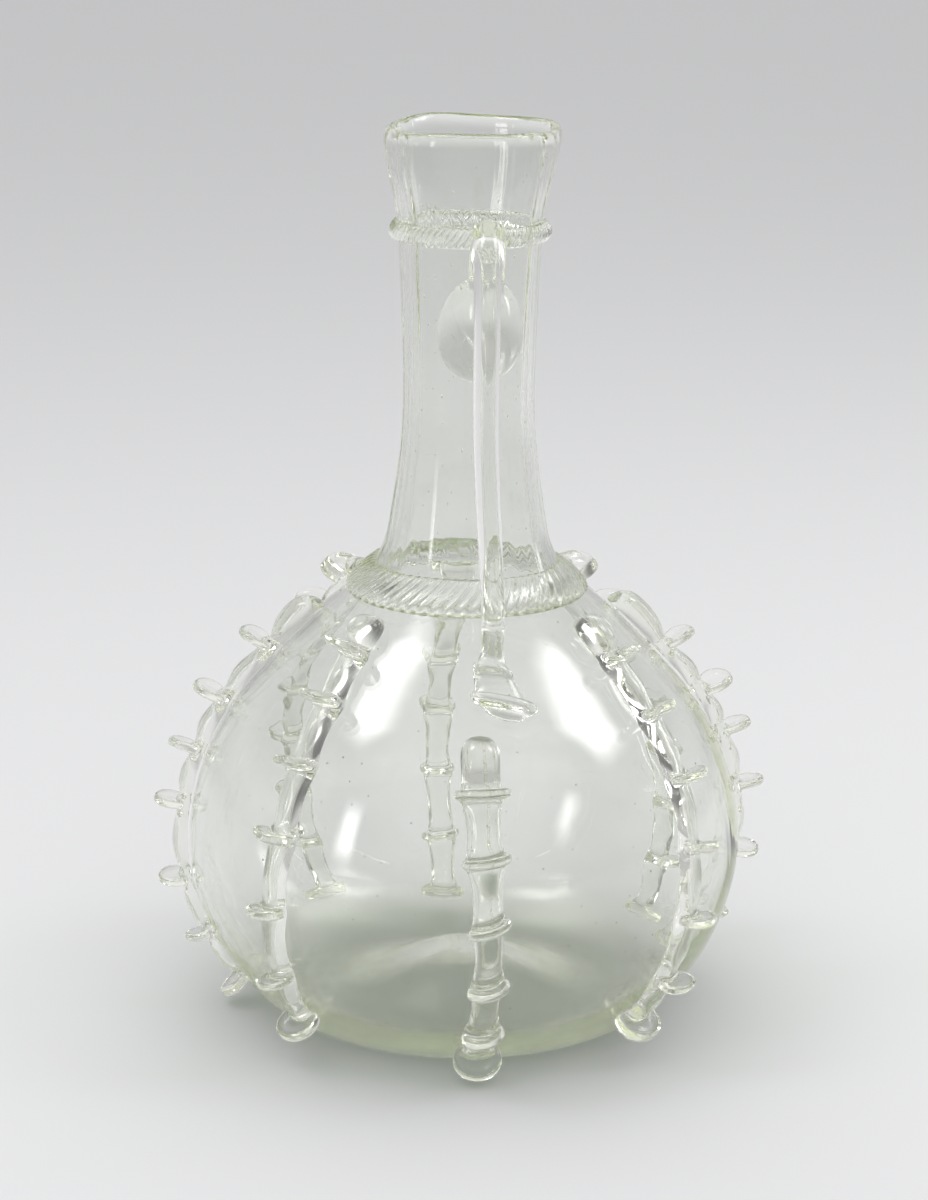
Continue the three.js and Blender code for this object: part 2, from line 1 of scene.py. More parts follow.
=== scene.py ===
"""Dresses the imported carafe: free-blown clear glass with milled threads and pinched trails.

Sizes in the classes are in millimetres, as in the part, and meshes are made in metres.
Direction 0 faces -Y, where the handle stands, and directions grow towards +X.
"""

import logging
import math
from dataclasses import dataclass, field
from enum import Enum

import bmesh
import bpy
import numpy as np
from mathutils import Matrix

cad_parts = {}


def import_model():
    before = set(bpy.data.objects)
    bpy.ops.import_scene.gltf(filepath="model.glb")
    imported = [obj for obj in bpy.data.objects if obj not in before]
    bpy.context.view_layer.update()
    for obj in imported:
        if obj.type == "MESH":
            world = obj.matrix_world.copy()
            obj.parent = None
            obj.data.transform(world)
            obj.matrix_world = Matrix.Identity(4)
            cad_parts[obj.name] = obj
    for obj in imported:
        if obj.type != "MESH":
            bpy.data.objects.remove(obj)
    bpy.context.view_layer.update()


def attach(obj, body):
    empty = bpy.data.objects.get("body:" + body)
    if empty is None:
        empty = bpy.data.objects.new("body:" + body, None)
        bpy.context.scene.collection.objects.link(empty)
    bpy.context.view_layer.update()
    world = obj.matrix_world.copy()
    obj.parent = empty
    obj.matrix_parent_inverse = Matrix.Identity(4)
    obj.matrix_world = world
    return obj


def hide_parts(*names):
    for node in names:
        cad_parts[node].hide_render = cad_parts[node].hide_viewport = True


MM = 0.001
BODY = "root"
LOG = logging.getLogger("carafe")

Piece = bpy.types.Object
Material = bpy.types.Material
Socket = bpy.types.NodeSocket
Triple = tuple[float, float, float]
Colour = tuple[float, float, float]
Span = tuple[float, float]
Waves = tuple[tuple[float, float, float, float], ...]
Profile = list[Span]

# The grain in which soft glass is fused, in millimetres.
GRAIN = 0.4
# Points closer than this are merged, in metres.
DOUBLED = 2e-6
# Levels of subdivision of a drawn bar.
ROUNDING = 2


class Slot(Enum):
    """Material slots of the record."""

    VESSEL = "vessel_glass"
    HANDLE = "handle_glass"
    THREAD = "thread_glass"
    TRAIL = "trail_glass"


class Pick(Enum):
    """What is selected in edit mode."""

    POINTS = "VERT"
    FACES = "FACE"


# Bench tools


def deselect() -> None:
    """Leaves edit mode if a piece is in it, and deselects every object."""
    if bpy.context.object is not None and bpy.context.object.mode != "OBJECT":
        bpy.ops.object.mode_set(mode="OBJECT")
    bpy.ops.object.select_all(action="DESELECT")


def make_active(piece: Piece) -> None:
    """Selects one piece and makes it the active one.

    Args:
        piece: The object.
    """
    deselect()
    piece.select_set(True)
    bpy.context.view_layer.objects.active = piece


def open_mesh(piece: Piece, pick: Pick = Pick.POINTS) -> None:
    """Opens a piece in edit mode with all of it selected.

    Args:
        piece: The object to edit.
        pick: What is selected.
    """
    make_active(piece)
    bpy.ops.object.mode_set(mode="EDIT")
    bpy.ops.mesh.select_mode(type=pick.value)
    bpy.ops.mesh.select_all(action="SELECT")


def close_mesh() -> None:
    """Leaves edit mode."""
    bpy.ops.object.mode_set(mode="OBJECT")


def finish_shell(piece: Piece) -> None:
    """Merges doubled points and turns the faces of a closed piece outwards.

    Args:
        piece: The object.
    """
    open_mesh(piece)
    bpy.ops.mesh.remove_doubles(threshold=DOUBLED)
    bpy.ops.mesh.normals_make_consistent(inside=False)
    close_mesh()


def apply_modifier(piece: Piece, kind: str, **settings: object) -> None:
    """Adds a modifier with the settings given and applies it at once.

    Args:
        piece: The object to change.
        kind: The modifier's type.
        **settings: Values of the modifier's own properties.
    """
    make_active(piece)
    modifier = piece.modifiers.new(kind.title(), kind)
    for name, value in settings.items():
        setattr(modifier, name, value)
    bpy.ops.object.modifier_apply(modifier=modifier.name)


def smooth(piece: Piece) -> None:
    """Shades a piece smooth."""
    make_active(piece)
    bpy.ops.object.shade_smooth()


def points_of(piece: Piece) -> np.ndarray:
    """Reads a piece's points.

    Args:
        piece: The object.

    Returns:
        The points in millimetres, one row each.
    """
    flat = np.empty(len(piece.data.vertices) * 3)
    piece.data.vertices.foreach_get("co", flat)
    return flat.reshape(-1, 3) / MM


def move_points(piece: Piece, points: np.ndarray) -> None:
    """Puts a piece's points at the places given in millimetres."""
    piece.data.vertices.foreach_set("co", (points * MM).ravel())
    piece.data.update()


def fuse(parts: list[Piece], name: str, rounds: int) -> Piece:
    """Fuses parts of soft glass into one closed piece and lets its creases flow out.

    Args:
        parts: The parts, which overlap.
        name: The fused piece's name.
        rounds: How many rounds of smoothing follow.

    Returns:
        The fused piece.
    """
    deselect()
    for part in parts:
        part.select_set(True)
    bpy.context.view_layer.objects.active = parts[0]
    bpy.ops.object.join()
    piece = bpy.context.object
    piece.name = name
    apply_modifier(piece, "REMESH", mode="VOXEL", voxel_size=GRAIN * MM)
    apply_modifier(piece, "SMOOTH", factor=0.5, iterations=rounds)
    return piece


def apply_place(piece: Piece) -> None:
    """Puts the object's place and turn into its mesh."""
    make_active(piece)
    bpy.ops.object.transform_apply(location=True, rotation=True, scale=True)


def turns_of(points: np.ndarray) -> np.ndarray:
    """Gives each point's direction round the axis, in radians."""
    return np.arctan2(points[:, 0], -points[:, 1])


def round_axis(radius: np.ndarray, turn: np.ndarray, height: np.ndarray) -> np.ndarray:
    """Gives the points at the radii, directions and heights given."""
    return np.column_stack([radius * np.sin(turn), -radius * np.cos(turn), height])


def wave(points: np.ndarray, terms: Waves) -> np.ndarray:
    """Adds up smooth waves round and up a turned piece.

    Args:
        points: Points in millimetres.
        terms: Each wave's height, waves per turn, waves per metre of height, and phase.

    Returns:
        The sum at each point, in millimetres.
    """
    turn = turns_of(points)
    total = np.zeros(len(points))
    for size, round_, up, phase in terms:
        total += size * np.sin(round_ * turn + 2 * math.pi * up * points[:, 2] * MM + phase)
    return total


def push_out(points: np.ndarray, amount: np.ndarray) -> np.ndarray:
    """Moves points away from the axis.

    Args:
        points: Points in millimetres.
        amount: How far each moves, in millimetres.

    Returns:
        The moved points.
    """
    radius = np.maximum(np.hypot(points[:, 0], points[:, 1]), 1e-6)
    grown = 1 + amount / radius
    return np.column_stack([points[:, 0] * grown, points[:, 1] * grown, points[:, 2]])


def ease(t: float) -> tuple[float, float, float]:
    """Gives a smooth curve's weights: of its rise, and of its slopes at the start and the end."""
    return t * t * (3 - 2 * t), t * (1 - t) ** 2, t * t * (t - 1)


# The body's form


@dataclass(frozen=True)
class Outline:
    """Outer outline of the blown body: a globe, then a smooth curve up the neck."""

    globe_radius: float = 78.75
    equator: float = 49.5
    lower_roundness: float = 1.7
    lower_fullness: float = 1.8
    upper_bulge: float = 74.0
    highest_rise: float = 0.99
    shoulder: float = 98.0
    foot_radius: float = 44.0
    collar_edge: float = 123.1
    mouth: float = 249.0
    knots: tuple[tuple[float, float], ...] = (
        (115.0, 43.3),
        (130.5, 26.2),
        (141.0, 22.3),
        (178.0, 18.3),
        (224.8, 19.9),
        (249.0, 24.0),
    )
    slope_step: float = 0.01
    normal_step: float = 0.05

    def globe(self, height: float) -> float:
        """Gives the radius of the globe's own round.

        Args:
            height: The height, in millimetres.

        Returns:
            The radius, in millimetres.
        """
        if height < self.equator:
            fall = min(1.0, (self.equator - height) / self.equator)
            round_ = (1 - fall**self.lower_roundness) ** (1 / self.lower_fullness)
            return self.foot_radius + (self.globe_radius - self.foot_radius) * round_
        rise = min(self.highest_rise, (height - self.equator) / self.upper_bulge)
        return self.globe_radius * math.sqrt(1 - rise * rise)

    def stations(self) -> list[tuple[float, float, float]]:
        """Lists the knots above the globe.

        Returns:
            Height, radius and slope of each knot.
        """
        knots = [(self.shoulder, self.globe(self.shoulder)), *self.knots]
        rows = []
        for i, (height, radius) in enumerate(knots):
            if i == 0:
                slope = (radius - self.globe(height - self.slope_step)) / self.slope_step
            else:
                before = (radius - knots[i - 1][1]) / (height - knots[i - 1][0])
                if i == len(knots) - 1:
                    slope = before / 2
                else:
                    after = (knots[i + 1][1] - radius) / (knots[i + 1][0] - height)
                    same = before * after > 0
                    slope = 2 * before * after / (before + after) if same else 0.0
            rows.append((height, radius, slope))
        return rows

    def radius(self, height: float) -> float:
        """Gives the outer radius.

        Args:
            height: The height, in millimetres.

        Returns:
            The radius, in millimetres.
        """
        if height <= self.shoulder:
            return self.globe(max(0.0, height))
        rows = self.stations()
        index = 0
        while index < len(rows) - 2 and height > rows[index + 1][0]:
            index += 1
        low, high = rows[index], rows[index + 1]
        span = high[0] - low[0]
        bend, leave, arrive = ease(min(1.0, (height - low[0]) / span))
        straight = low[1] + (high[1] - low[1]) * bend
        return straight + leave * span * low[2] + arrive * span * high[2]

    def radii(self, heights: np.ndarray) -> np.ndarray:
        """Gives the outer radius at each of many heights."""
        return np.array([self.radius(height) for height in heights])

    def normal(self, height: float) -> tuple[float, float]:
        """Gives the direction that faces straight out of the glass.

        Args:
            height: The height, in millimetres.

        Returns:
            Its parts along the radius and the height.
        """
        low = max(0.0, height - self.normal_step)
        run = self.radius(height + self.normal_step) - self.radius(low)
        rise = height + self.normal_step - low
        size = math.hypot(run, rise)
        return rise / size, -run / size

    def off(self, height: float, stand: float) -> tuple[float, float]:
        """Gives radius and height of a point that stands off the glass at a height."""
        across, up = self.normal(height)
        return self.radius(height) + across * stand, height + up * stand


class OutlineTable:
    """The outline measured down its length from the collar's lower edge."""

    def __init__(self, outline: Outline, samples: int = 1201) -> None:
        """Measures the outline.

        Args:
            outline: The body's outline.
            samples: At how many heights it is measured, closer at its two ends.
        """
        part = np.linspace(0.0, 1.0, samples)
        self.height = outline.collar_edge * (1 - part) ** 2 * (1 + 2 * part)
        self.radius = outline.radii(self.height)
        steps = np.hypot(np.diff(self.height), np.diff(self.radius))
        self.length = np.concatenate([[0.0], np.cumsum(steps)])
        normals = np.array([outline.normal(height) for height in self.height])
        self.rise = np.arctan2(normals[:, 1], normals[:, 0])

    def seat(
        self, length: np.ndarray, off: np.ndarray, level: np.ndarray
    ) -> tuple[np.ndarray, np.ndarray, np.ndarray]:
        """Finds points that stand off the outline.

        Args:
            length: How far down the outline each point lies.
            off: How far it stands off the glass.
            level: How much its lean is turned towards the level, from 0 to 1.

        Returns:
            The points' radius and height, and the radius of the glass under them.
        """
        ground = np.interp(length, self.length, self.radius)
        height = np.interp(length, self.length, self.height)
        slant = np.interp(length, self.length, self.rise) * (1 - level)
        return ground + off * np.cos(slant), height + off * np.sin(slant), ground


OUTLINE = Outline()
TABLE = OutlineTable(OUTLINE)


def turn_profile(name: str, profile: Profile, steps: int) -> Piece:
    """Turns a profile round the axis: one point is extruded along it, then spun.

    Args:
        name: The piece's name.
        profile: Radius and height of each point, in millimetres.
        steps: Steps of the spin.

    Returns:
        The turned piece, closed where the profile closes or meets the axis.
    """
    deselect()
    bpy.ops.mesh.primitive_plane_add(size=MM, location=(0, 0, 0))
    piece = bpy.context.object
    piece.name = name
    open_mesh(piece)
    bpy.ops.mesh.merge(type="CENTER")
    radius, height = profile[0]
    bpy.ops.transform.translate(value=(radius * MM, 0, height * MM))
    for (r0, z0), (r1, z1) in zip(profile, profile[1:]):
        step = ((r1 - r0) * MM, 0, (z1 - z0) * MM)
        bpy.ops.mesh.extrude_region_move(TRANSFORM_OT_translate={"value": step})
    bpy.ops.mesh.select_all(action="SELECT")
    bpy.ops.mesh.spin(steps=steps, angle=2 * math.pi, center=(0, 0, 0), axis=(0, 0, 1))
    close_mesh()
    finish_shell(piece)
    return piece


# Bars of soft glass and the discs that are pinched out of them


@dataclass(frozen=True)
class Stop:
    """One section of a bar of soft glass: how far along it lies, its width and its stand."""

    along: float
    width: float
    stand: float


@dataclass(frozen=True)
class Pinch:
    """One pinched disc: how far along it lies, its size, its slant and how cupped it is."""

    along: float
    width: float
    stand: float
    thickness: float = 2.6
    slant: float = 0.0
    cup: float = 0.8


# A bar's section, aside and up, in shares of its width and stand.
SECTION = (
    (-0.43, 0.0),
    (0.43, 0.0),
    (0.5, 0.3),
    (0.44, 0.68),
    (0.2, 1.0),
    (-0.2, 1.0),
    (-0.44, 0.68),
    (-0.5, 0.3),
)
# A disc's upright radius, as the largest share of its stand.
ROUNDNESS = 0.64
# How far from a disc its slant and cup hold, and how far above the first one they start.
DISC_HOLD = 2.0
DISC_EASE = 7.0
# Sides of a disc's rim, which no other face has.
DISC_SIDES = 56
# Steps in a disc's faces: width of the inset, growth of the thickness, shift to one side.
DISC_STEPS = ((0.07, 1.6, 0.0), (0.14, 1.25, 0.0), (0.35, 0.85, 0.1))


def draw_bar(name: str, stops: list[Stop]) -> Piece:
    """Draws out a bar on the bench: a section on the ground, extruded from stop to stop.

    Args:
        name: The piece's name.
        stops: The sections, in order along +Y.

    Returns:
        The closed bar, flat side down at height 0.
    """
    deselect()
    bpy.ops.mesh.primitive_circle_add(
        vertices=len(SECTION), radius=MM, fill_type="NGON", location=(0, 0, 0)
    )
    piece = bpy.context.object
    piece.name = name
    open_mesh(piece)
    first = stops[0]
    ring = bmesh.from_edit_mesh(piece.data)
    ring.verts.ensure_lookup_table()
    for point, (x, z) in zip(ring.verts, SECTION):
        point.co = (x * first.width * MM, first.along * MM, z * first.stand * MM)
    bmesh.update_edit_mesh(piece.data)
    for last, stop in zip(stops, stops[1:]):
        step = (0, (stop.along - last.along) * MM, 0)
        bpy.ops.mesh.extrude_region_move(TRANSFORM_OT_translate={"value": step})
        bpy.ops.transform.resize(
            value=(stop.width / last.width, 1, stop.stand / last.stand),
            center_override=(0, stop.along * MM, 0),
        )
    close_mesh()
    finish_shell(piece)
    return piece


def make_disc() -> Piece:
    """Models a disc of unit radius and unit thickness that stands across a bar at the origin.

    Returns:
        The disc: a band for its rim, faces inset, raised and a little cupped.
    """
    deselect()
    bpy.ops.mesh.primitive_cylinder_add(
        vertices=DISC_SIDES,
        radius=MM,
        depth=MM / 2,
        end_fill_type="NGON",
        rotation=(math.pi / 2, 0, 0),
    )
    disc = bpy.context.object
    apply_place(disc)
    open_mesh(disc, Pick.FACES)
    bpy.ops.mesh.select_face_by_sides(number=DISC_SIDES, extend=False)
    for inset, raised, cup in DISC_STEPS:
        bpy.ops.mesh.inset(thickness=inset * MM)
        bpy.ops.transform.resize(value=(1, raised, 1), center_override=(0, 0, 0))
        bpy.ops.transform.translate(value=(0, cup * MM, 0))
    close_mesh()
    return disc


def press_disc(pattern: Piece, pinch: Pinch) -> Piece:
    """Copies the disc to its place on the bar, at its size and square across.

    Args:
        pattern: The disc of unit size.
        pinch: The disc's place and size.

    Returns:
        The copy, cut off at the bench.
    """
    disc = pattern.copy()
    disc.data = pattern.data.copy()
    bpy.context.collection.objects.link(disc)
    points = points_of(disc)
    half = pinch.width / 2
    reach = min(half, ROUNDNESS * pinch.stand)
    aside = points[:, 0] * half
    height = np.maximum(pinch.stand - reach + points[:, 2] * reach, 0.0)
    along = pinch.along + points[:, 1] * pinch.thickness
    move_points(disc, np.column_stack([aside, along, height]))
    return disc


def pinch_bar(name: str, stops: list[Stop], pinches: list[Pinch], rounds: int) -> Piece:
    """Draws a bar, presses its discs on and fuses them.

    Args:
        name: The piece's name.
        stops: The bar's sections.
        pinches: Its discs.
        rounds: How many rounds of smoothing follow.

    Returns:
        The straight bar with its discs square across it.
    """
    bar = draw_bar(name, stops)
    apply_modifier(bar, "SUBSURF", levels=ROUNDING, render_levels=ROUNDING)
    pattern = make_disc()
    discs = [press_disc(pattern, pinch) for pinch in pinches]
    bpy.data.objects.remove(pattern)
    return fuse([bar, *discs], name, rounds)


def lean_discs(points: np.ndarray, pinches: list[Pinch]) -> np.ndarray:
    """Slants and cups the discs of a straight bar, and eases the glass between them.

    Args:
        points: The bar's points in millimetres, with its discs square across it.
        pinches: The discs in order along the bar.

    Returns:
        How far along the bar each point then lies.
    """
    first = pinches[0]
    rows = [(first.along - DISC_EASE, 0.0, 0.0, first.stand, first.width)]
    for pinch in pinches:
        for mark in (pinch.along - DISC_HOLD, pinch.along + DISC_HOLD):
            rows.append((mark, pinch.slant, pinch.cup, pinch.stand, pinch.width))
    marks, *sizes = zip(*rows)
    slant, cup, stand, width = (np.interp(points[:, 1], marks, values) for values in sizes)
    bend = (points[:, 2] / stand) ** 2 + 0.5 * (points[:, 0] / (width / 2)) ** 2
    return points[:, 1] + slant * points[:, 0] - cup * bend


# Finishes


class NodeBench:
    """Adds nodes to a material, a world or a lamp and wires them up."""

    def __init__(self, owner: Material | bpy.types.World | bpy.types.Light) -> None:
        """Opens the owner's nodes.

        Args:
            owner: What the nodes belong to.
        """
        owner.use_nodes = True
        self.nodes = owner.node_tree.nodes
        self.links = owner.node_tree.links

    def feed(self, node: bpy.types.Node, inputs: dict[str | int, object]) -> None:
        """Sets or links a node's inputs.

        Args:
            node: The node.
            inputs: A value or another node's socket for each input's name or number.
        """
        for key, value in inputs.items():
            if isinstance(value, Socket):
                self.links.new(value, node.inputs[key])
            else:
                node.inputs[key].default_value = value

    def add(
        self, kind: str, inputs: dict[str | int, object] | None = None, **settings: object
    ) -> bpy.types.bpy_prop_collection:
        """Adds a node.

        Args:
            kind: The node's type without its first word.
            inputs: A value or another node's socket for each input's name or number.
            **settings: Values of the node's own properties.

        Returns:
            The node's outputs.
        """
        node = self.nodes.new(f"ShaderNode{kind}")
        for name, value in settings.items():
            setattr(node, name, value)
        self.feed(node, inputs or {})
        return node.outputs

    def math(self, operation: str, *values: object) -> Socket:
        """Adds a node that reckons with values or sockets."""
        return self.add("Math", dict(enumerate(values)), operation=operation)["Value"]

    def ramp(self, source: Socket, span: Span, first: Colour, last: Colour) -> Socket:
        """Turns a value into a colour.

        Args:
            source: The value.
            span: Up to which value the first colour holds, and where the last one starts.
            first: The first colour.
            last: The last colour.

        Returns:
            The colour.
        """
        node = self.nodes.new("ShaderNodeValToRGB")
        self.feed(node, {"Fac": source})
        for end, place, colour in zip(node.color_ramp.elements, span, (first, last)):
            end.position, end.color = place, (*colour, 1)
        return node.outputs["Color"]

    def span(
        self,
        source: Socket,
        span: Span = (0.0, 1.0),
        ends: Span = (0.0, 1.0),
        kind: str = "LINEAR",
    ) -> Socket:
        """Maps a span of values to another one and holds it at its ends.

        Args:
            source: The value.
            span: The span that is mapped.
            ends: What its two ends become.
            kind: How the values run between them.

        Returns:
            The mapped value.
        """
        names = ("From Min", "From Max", "To Min", "To Max")
        inputs = {"Value": source, **dict(zip(names, (*span, *ends)))}
        return self.add("MapRange", inputs, interpolation_type=kind)["Result"]


@dataclass(frozen=True)
class GlassFinish:
    """Clear glass with a faint green cast, uneven as hand work leaves it.

    The cast by depth is an absorption inside, and the surface has fine ripples, a little
    haze and, on the vessel, a cloudier band at the foot.
    """

    name: str
    tint: Colour = (0.99, 0.992, 0.982)
    dullness: float = 0.975
    cast: Colour = (0.76, 0.81, 0.52)
    density: float = 14.0
    refraction: float = 1.5
    lamp_tint: Colour = (0.93, 0.95, 0.92)
    haze: float = 0.02
    least_haze: float = 0.004
    cloud_scale: float = 26.0
    cloud_detail: float = 5.0
    haze_span: Span = (0.45, 0.75)
    tint_span: Span = (0.3, 0.7)
    ripple: float = 0.06
    ripple_height: float = 0.002
    ripple_detail: float = 2.0
    ripple_stretch: Triple = (60.0, 60.0, 60.0)
    foot_tint: Colour | None = None
    foot_height: float = 23.0
    foot_core: float = 0.25
    foot_haze: float = 0.2

    def build(self) -> Material:
        """Makes the node material.

        Returns:
            The finished material.
        """
        material = bpy.data.materials.new(self.name)
        bench = NodeBench(material)
        bench.nodes.clear()
        place = bench.add("TexCoord")["Object"]

        drawn = bench.add("Mapping", {"Vector": place, "Scale": self.ripple_stretch})["Vector"]
        ripples = bench.add(
            "TexNoise", {"Vector": drawn, "Scale": 1.0, "Detail": self.ripple_detail}
        )["Fac"]
        bump = bench.add(
            "Bump",
            {"Strength": self.ripple, "Distance": self.ripple_height, "Height": ripples},
        )["Normal"]

        clouds = bench.add(
            "TexNoise",
            {"Vector": place, "Scale": self.cloud_scale, "Detail": self.cloud_detail},
        )["Fac"]
        rough = bench.span(clouds, self.haze_span, (self.least_haze, self.haze))
        dull = tuple(value * self.dullness for value in self.tint)
        colour = bench.ramp(clouds, self.tint_span, dull, self.tint)
        if self.foot_tint is not None:
            colour, rough = self.cloud_foot(bench, place, colour, rough)

        glass = bench.add(
            "BsdfPrincipled",
            {
                "Base Color": colour,
                "Roughness": rough,
                "IOR": self.refraction,
                "Transmission Weight": 1.0,
                "Normal": bump,
            },
        )["BSDF"]
        lamp_light = bench.add("BsdfTransparent", {"Color": (*self.lamp_tint, 1)})["BSDF"]
        is_shadow = bench.add("LightPath")["Is Shadow Ray"]
        surface = bench.add("MixShader", {"Fac": is_shadow, 1: glass, 2: lamp_light})["Shader"]
        depth = bench.add(
            "VolumeAbsorption", {"Color": (*self.cast, 1), "Density": self.density}
        )["Volume"]
        bench.add("OutputMaterial", {"Surface": surface, "Volume": depth})
        return material

    def cloud_foot(
        self, bench: NodeBench, place: Socket, colour: Socket, rough: Socket
    ) -> tuple[Socket, Socket]:
        """Makes the glass greener and cloudier towards the foot.

        Args:
            bench: The material's nodes.
            place: Object coordinates.
            colour: The glass's colour above the foot.
            rough: The glass's roughness above the foot.

        Returns:
            The colour and the roughness with the foot in them.
        """
        height = bench.add("SeparateXYZ", {"Vector": place})["Z"]
        fade = (self.foot_height * MM, self.foot_height * self.foot_core * MM)
        low = bench.span(height, fade, kind="SMOOTHSTEP")
        blend = bench.add(
            "Mix", {"Factor": low, 6: colour, 7: (*self.foot_tint, 1)}, data_type="RGBA"
        )[2]
        return blend, bench.math("MULTIPLY_ADD", low, self.foot_haze, rough)


@dataclass(frozen=True)
class FloorFinish:
    """Pale matt studio floor."""

    name: str = "studio_floor"
    colour: Colour = (0.8, 0.8, 0.805)
    roughness: float = 0.9
    gloss: float = 0.2

    def build(self) -> Material:
        """Makes the node material.

        Returns:
            The finished material.
        """
        material = bpy.data.materials.new(self.name)
        bench = NodeBench(material)
        bench.feed(
            bench.nodes["Principled BSDF"],
            {
                "Base Color": (*self.colour, 1),
                "Roughness": self.roughness,
                "Specular IOR Level": self.gloss,
            },
        )
        return material


def hand_over(piece: Piece, finish: Material, stands_for: str) -> Piece:
    """Finishes a piece: shades it, gives it its material and tells the frame about it.

    Args:
        piece: The modelled piece.
        finish: Its material.
        stands_for: The solid that it is shown in place of.

    Returns:
        The same piece.
    """
    smooth(piece)
    piece.data.materials.clear()
    piece.data.materials.append(finish)
    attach(piece, BODY)
    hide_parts(stands_for)
    count = sum(len(face.vertices) - 2 for face in piece.data.polygons)
    LOG.info("%s: %d triangles", piece.name, count)
    return piece


# Vessel


@dataclass(frozen=True)
class Pull:
    """A place where the rim is pulled out and up."""

    direction: float
    reach: float
    lift: float
    sharpness: float

    def share(self, turn: np.ndarray) -> np.ndarray:
        """Gives how much of the pull reaches each direction, in radians."""
        beside = np.cos(turn - math.radians(self.direction))
        return np.exp(self.sharpness * (beside - 1))


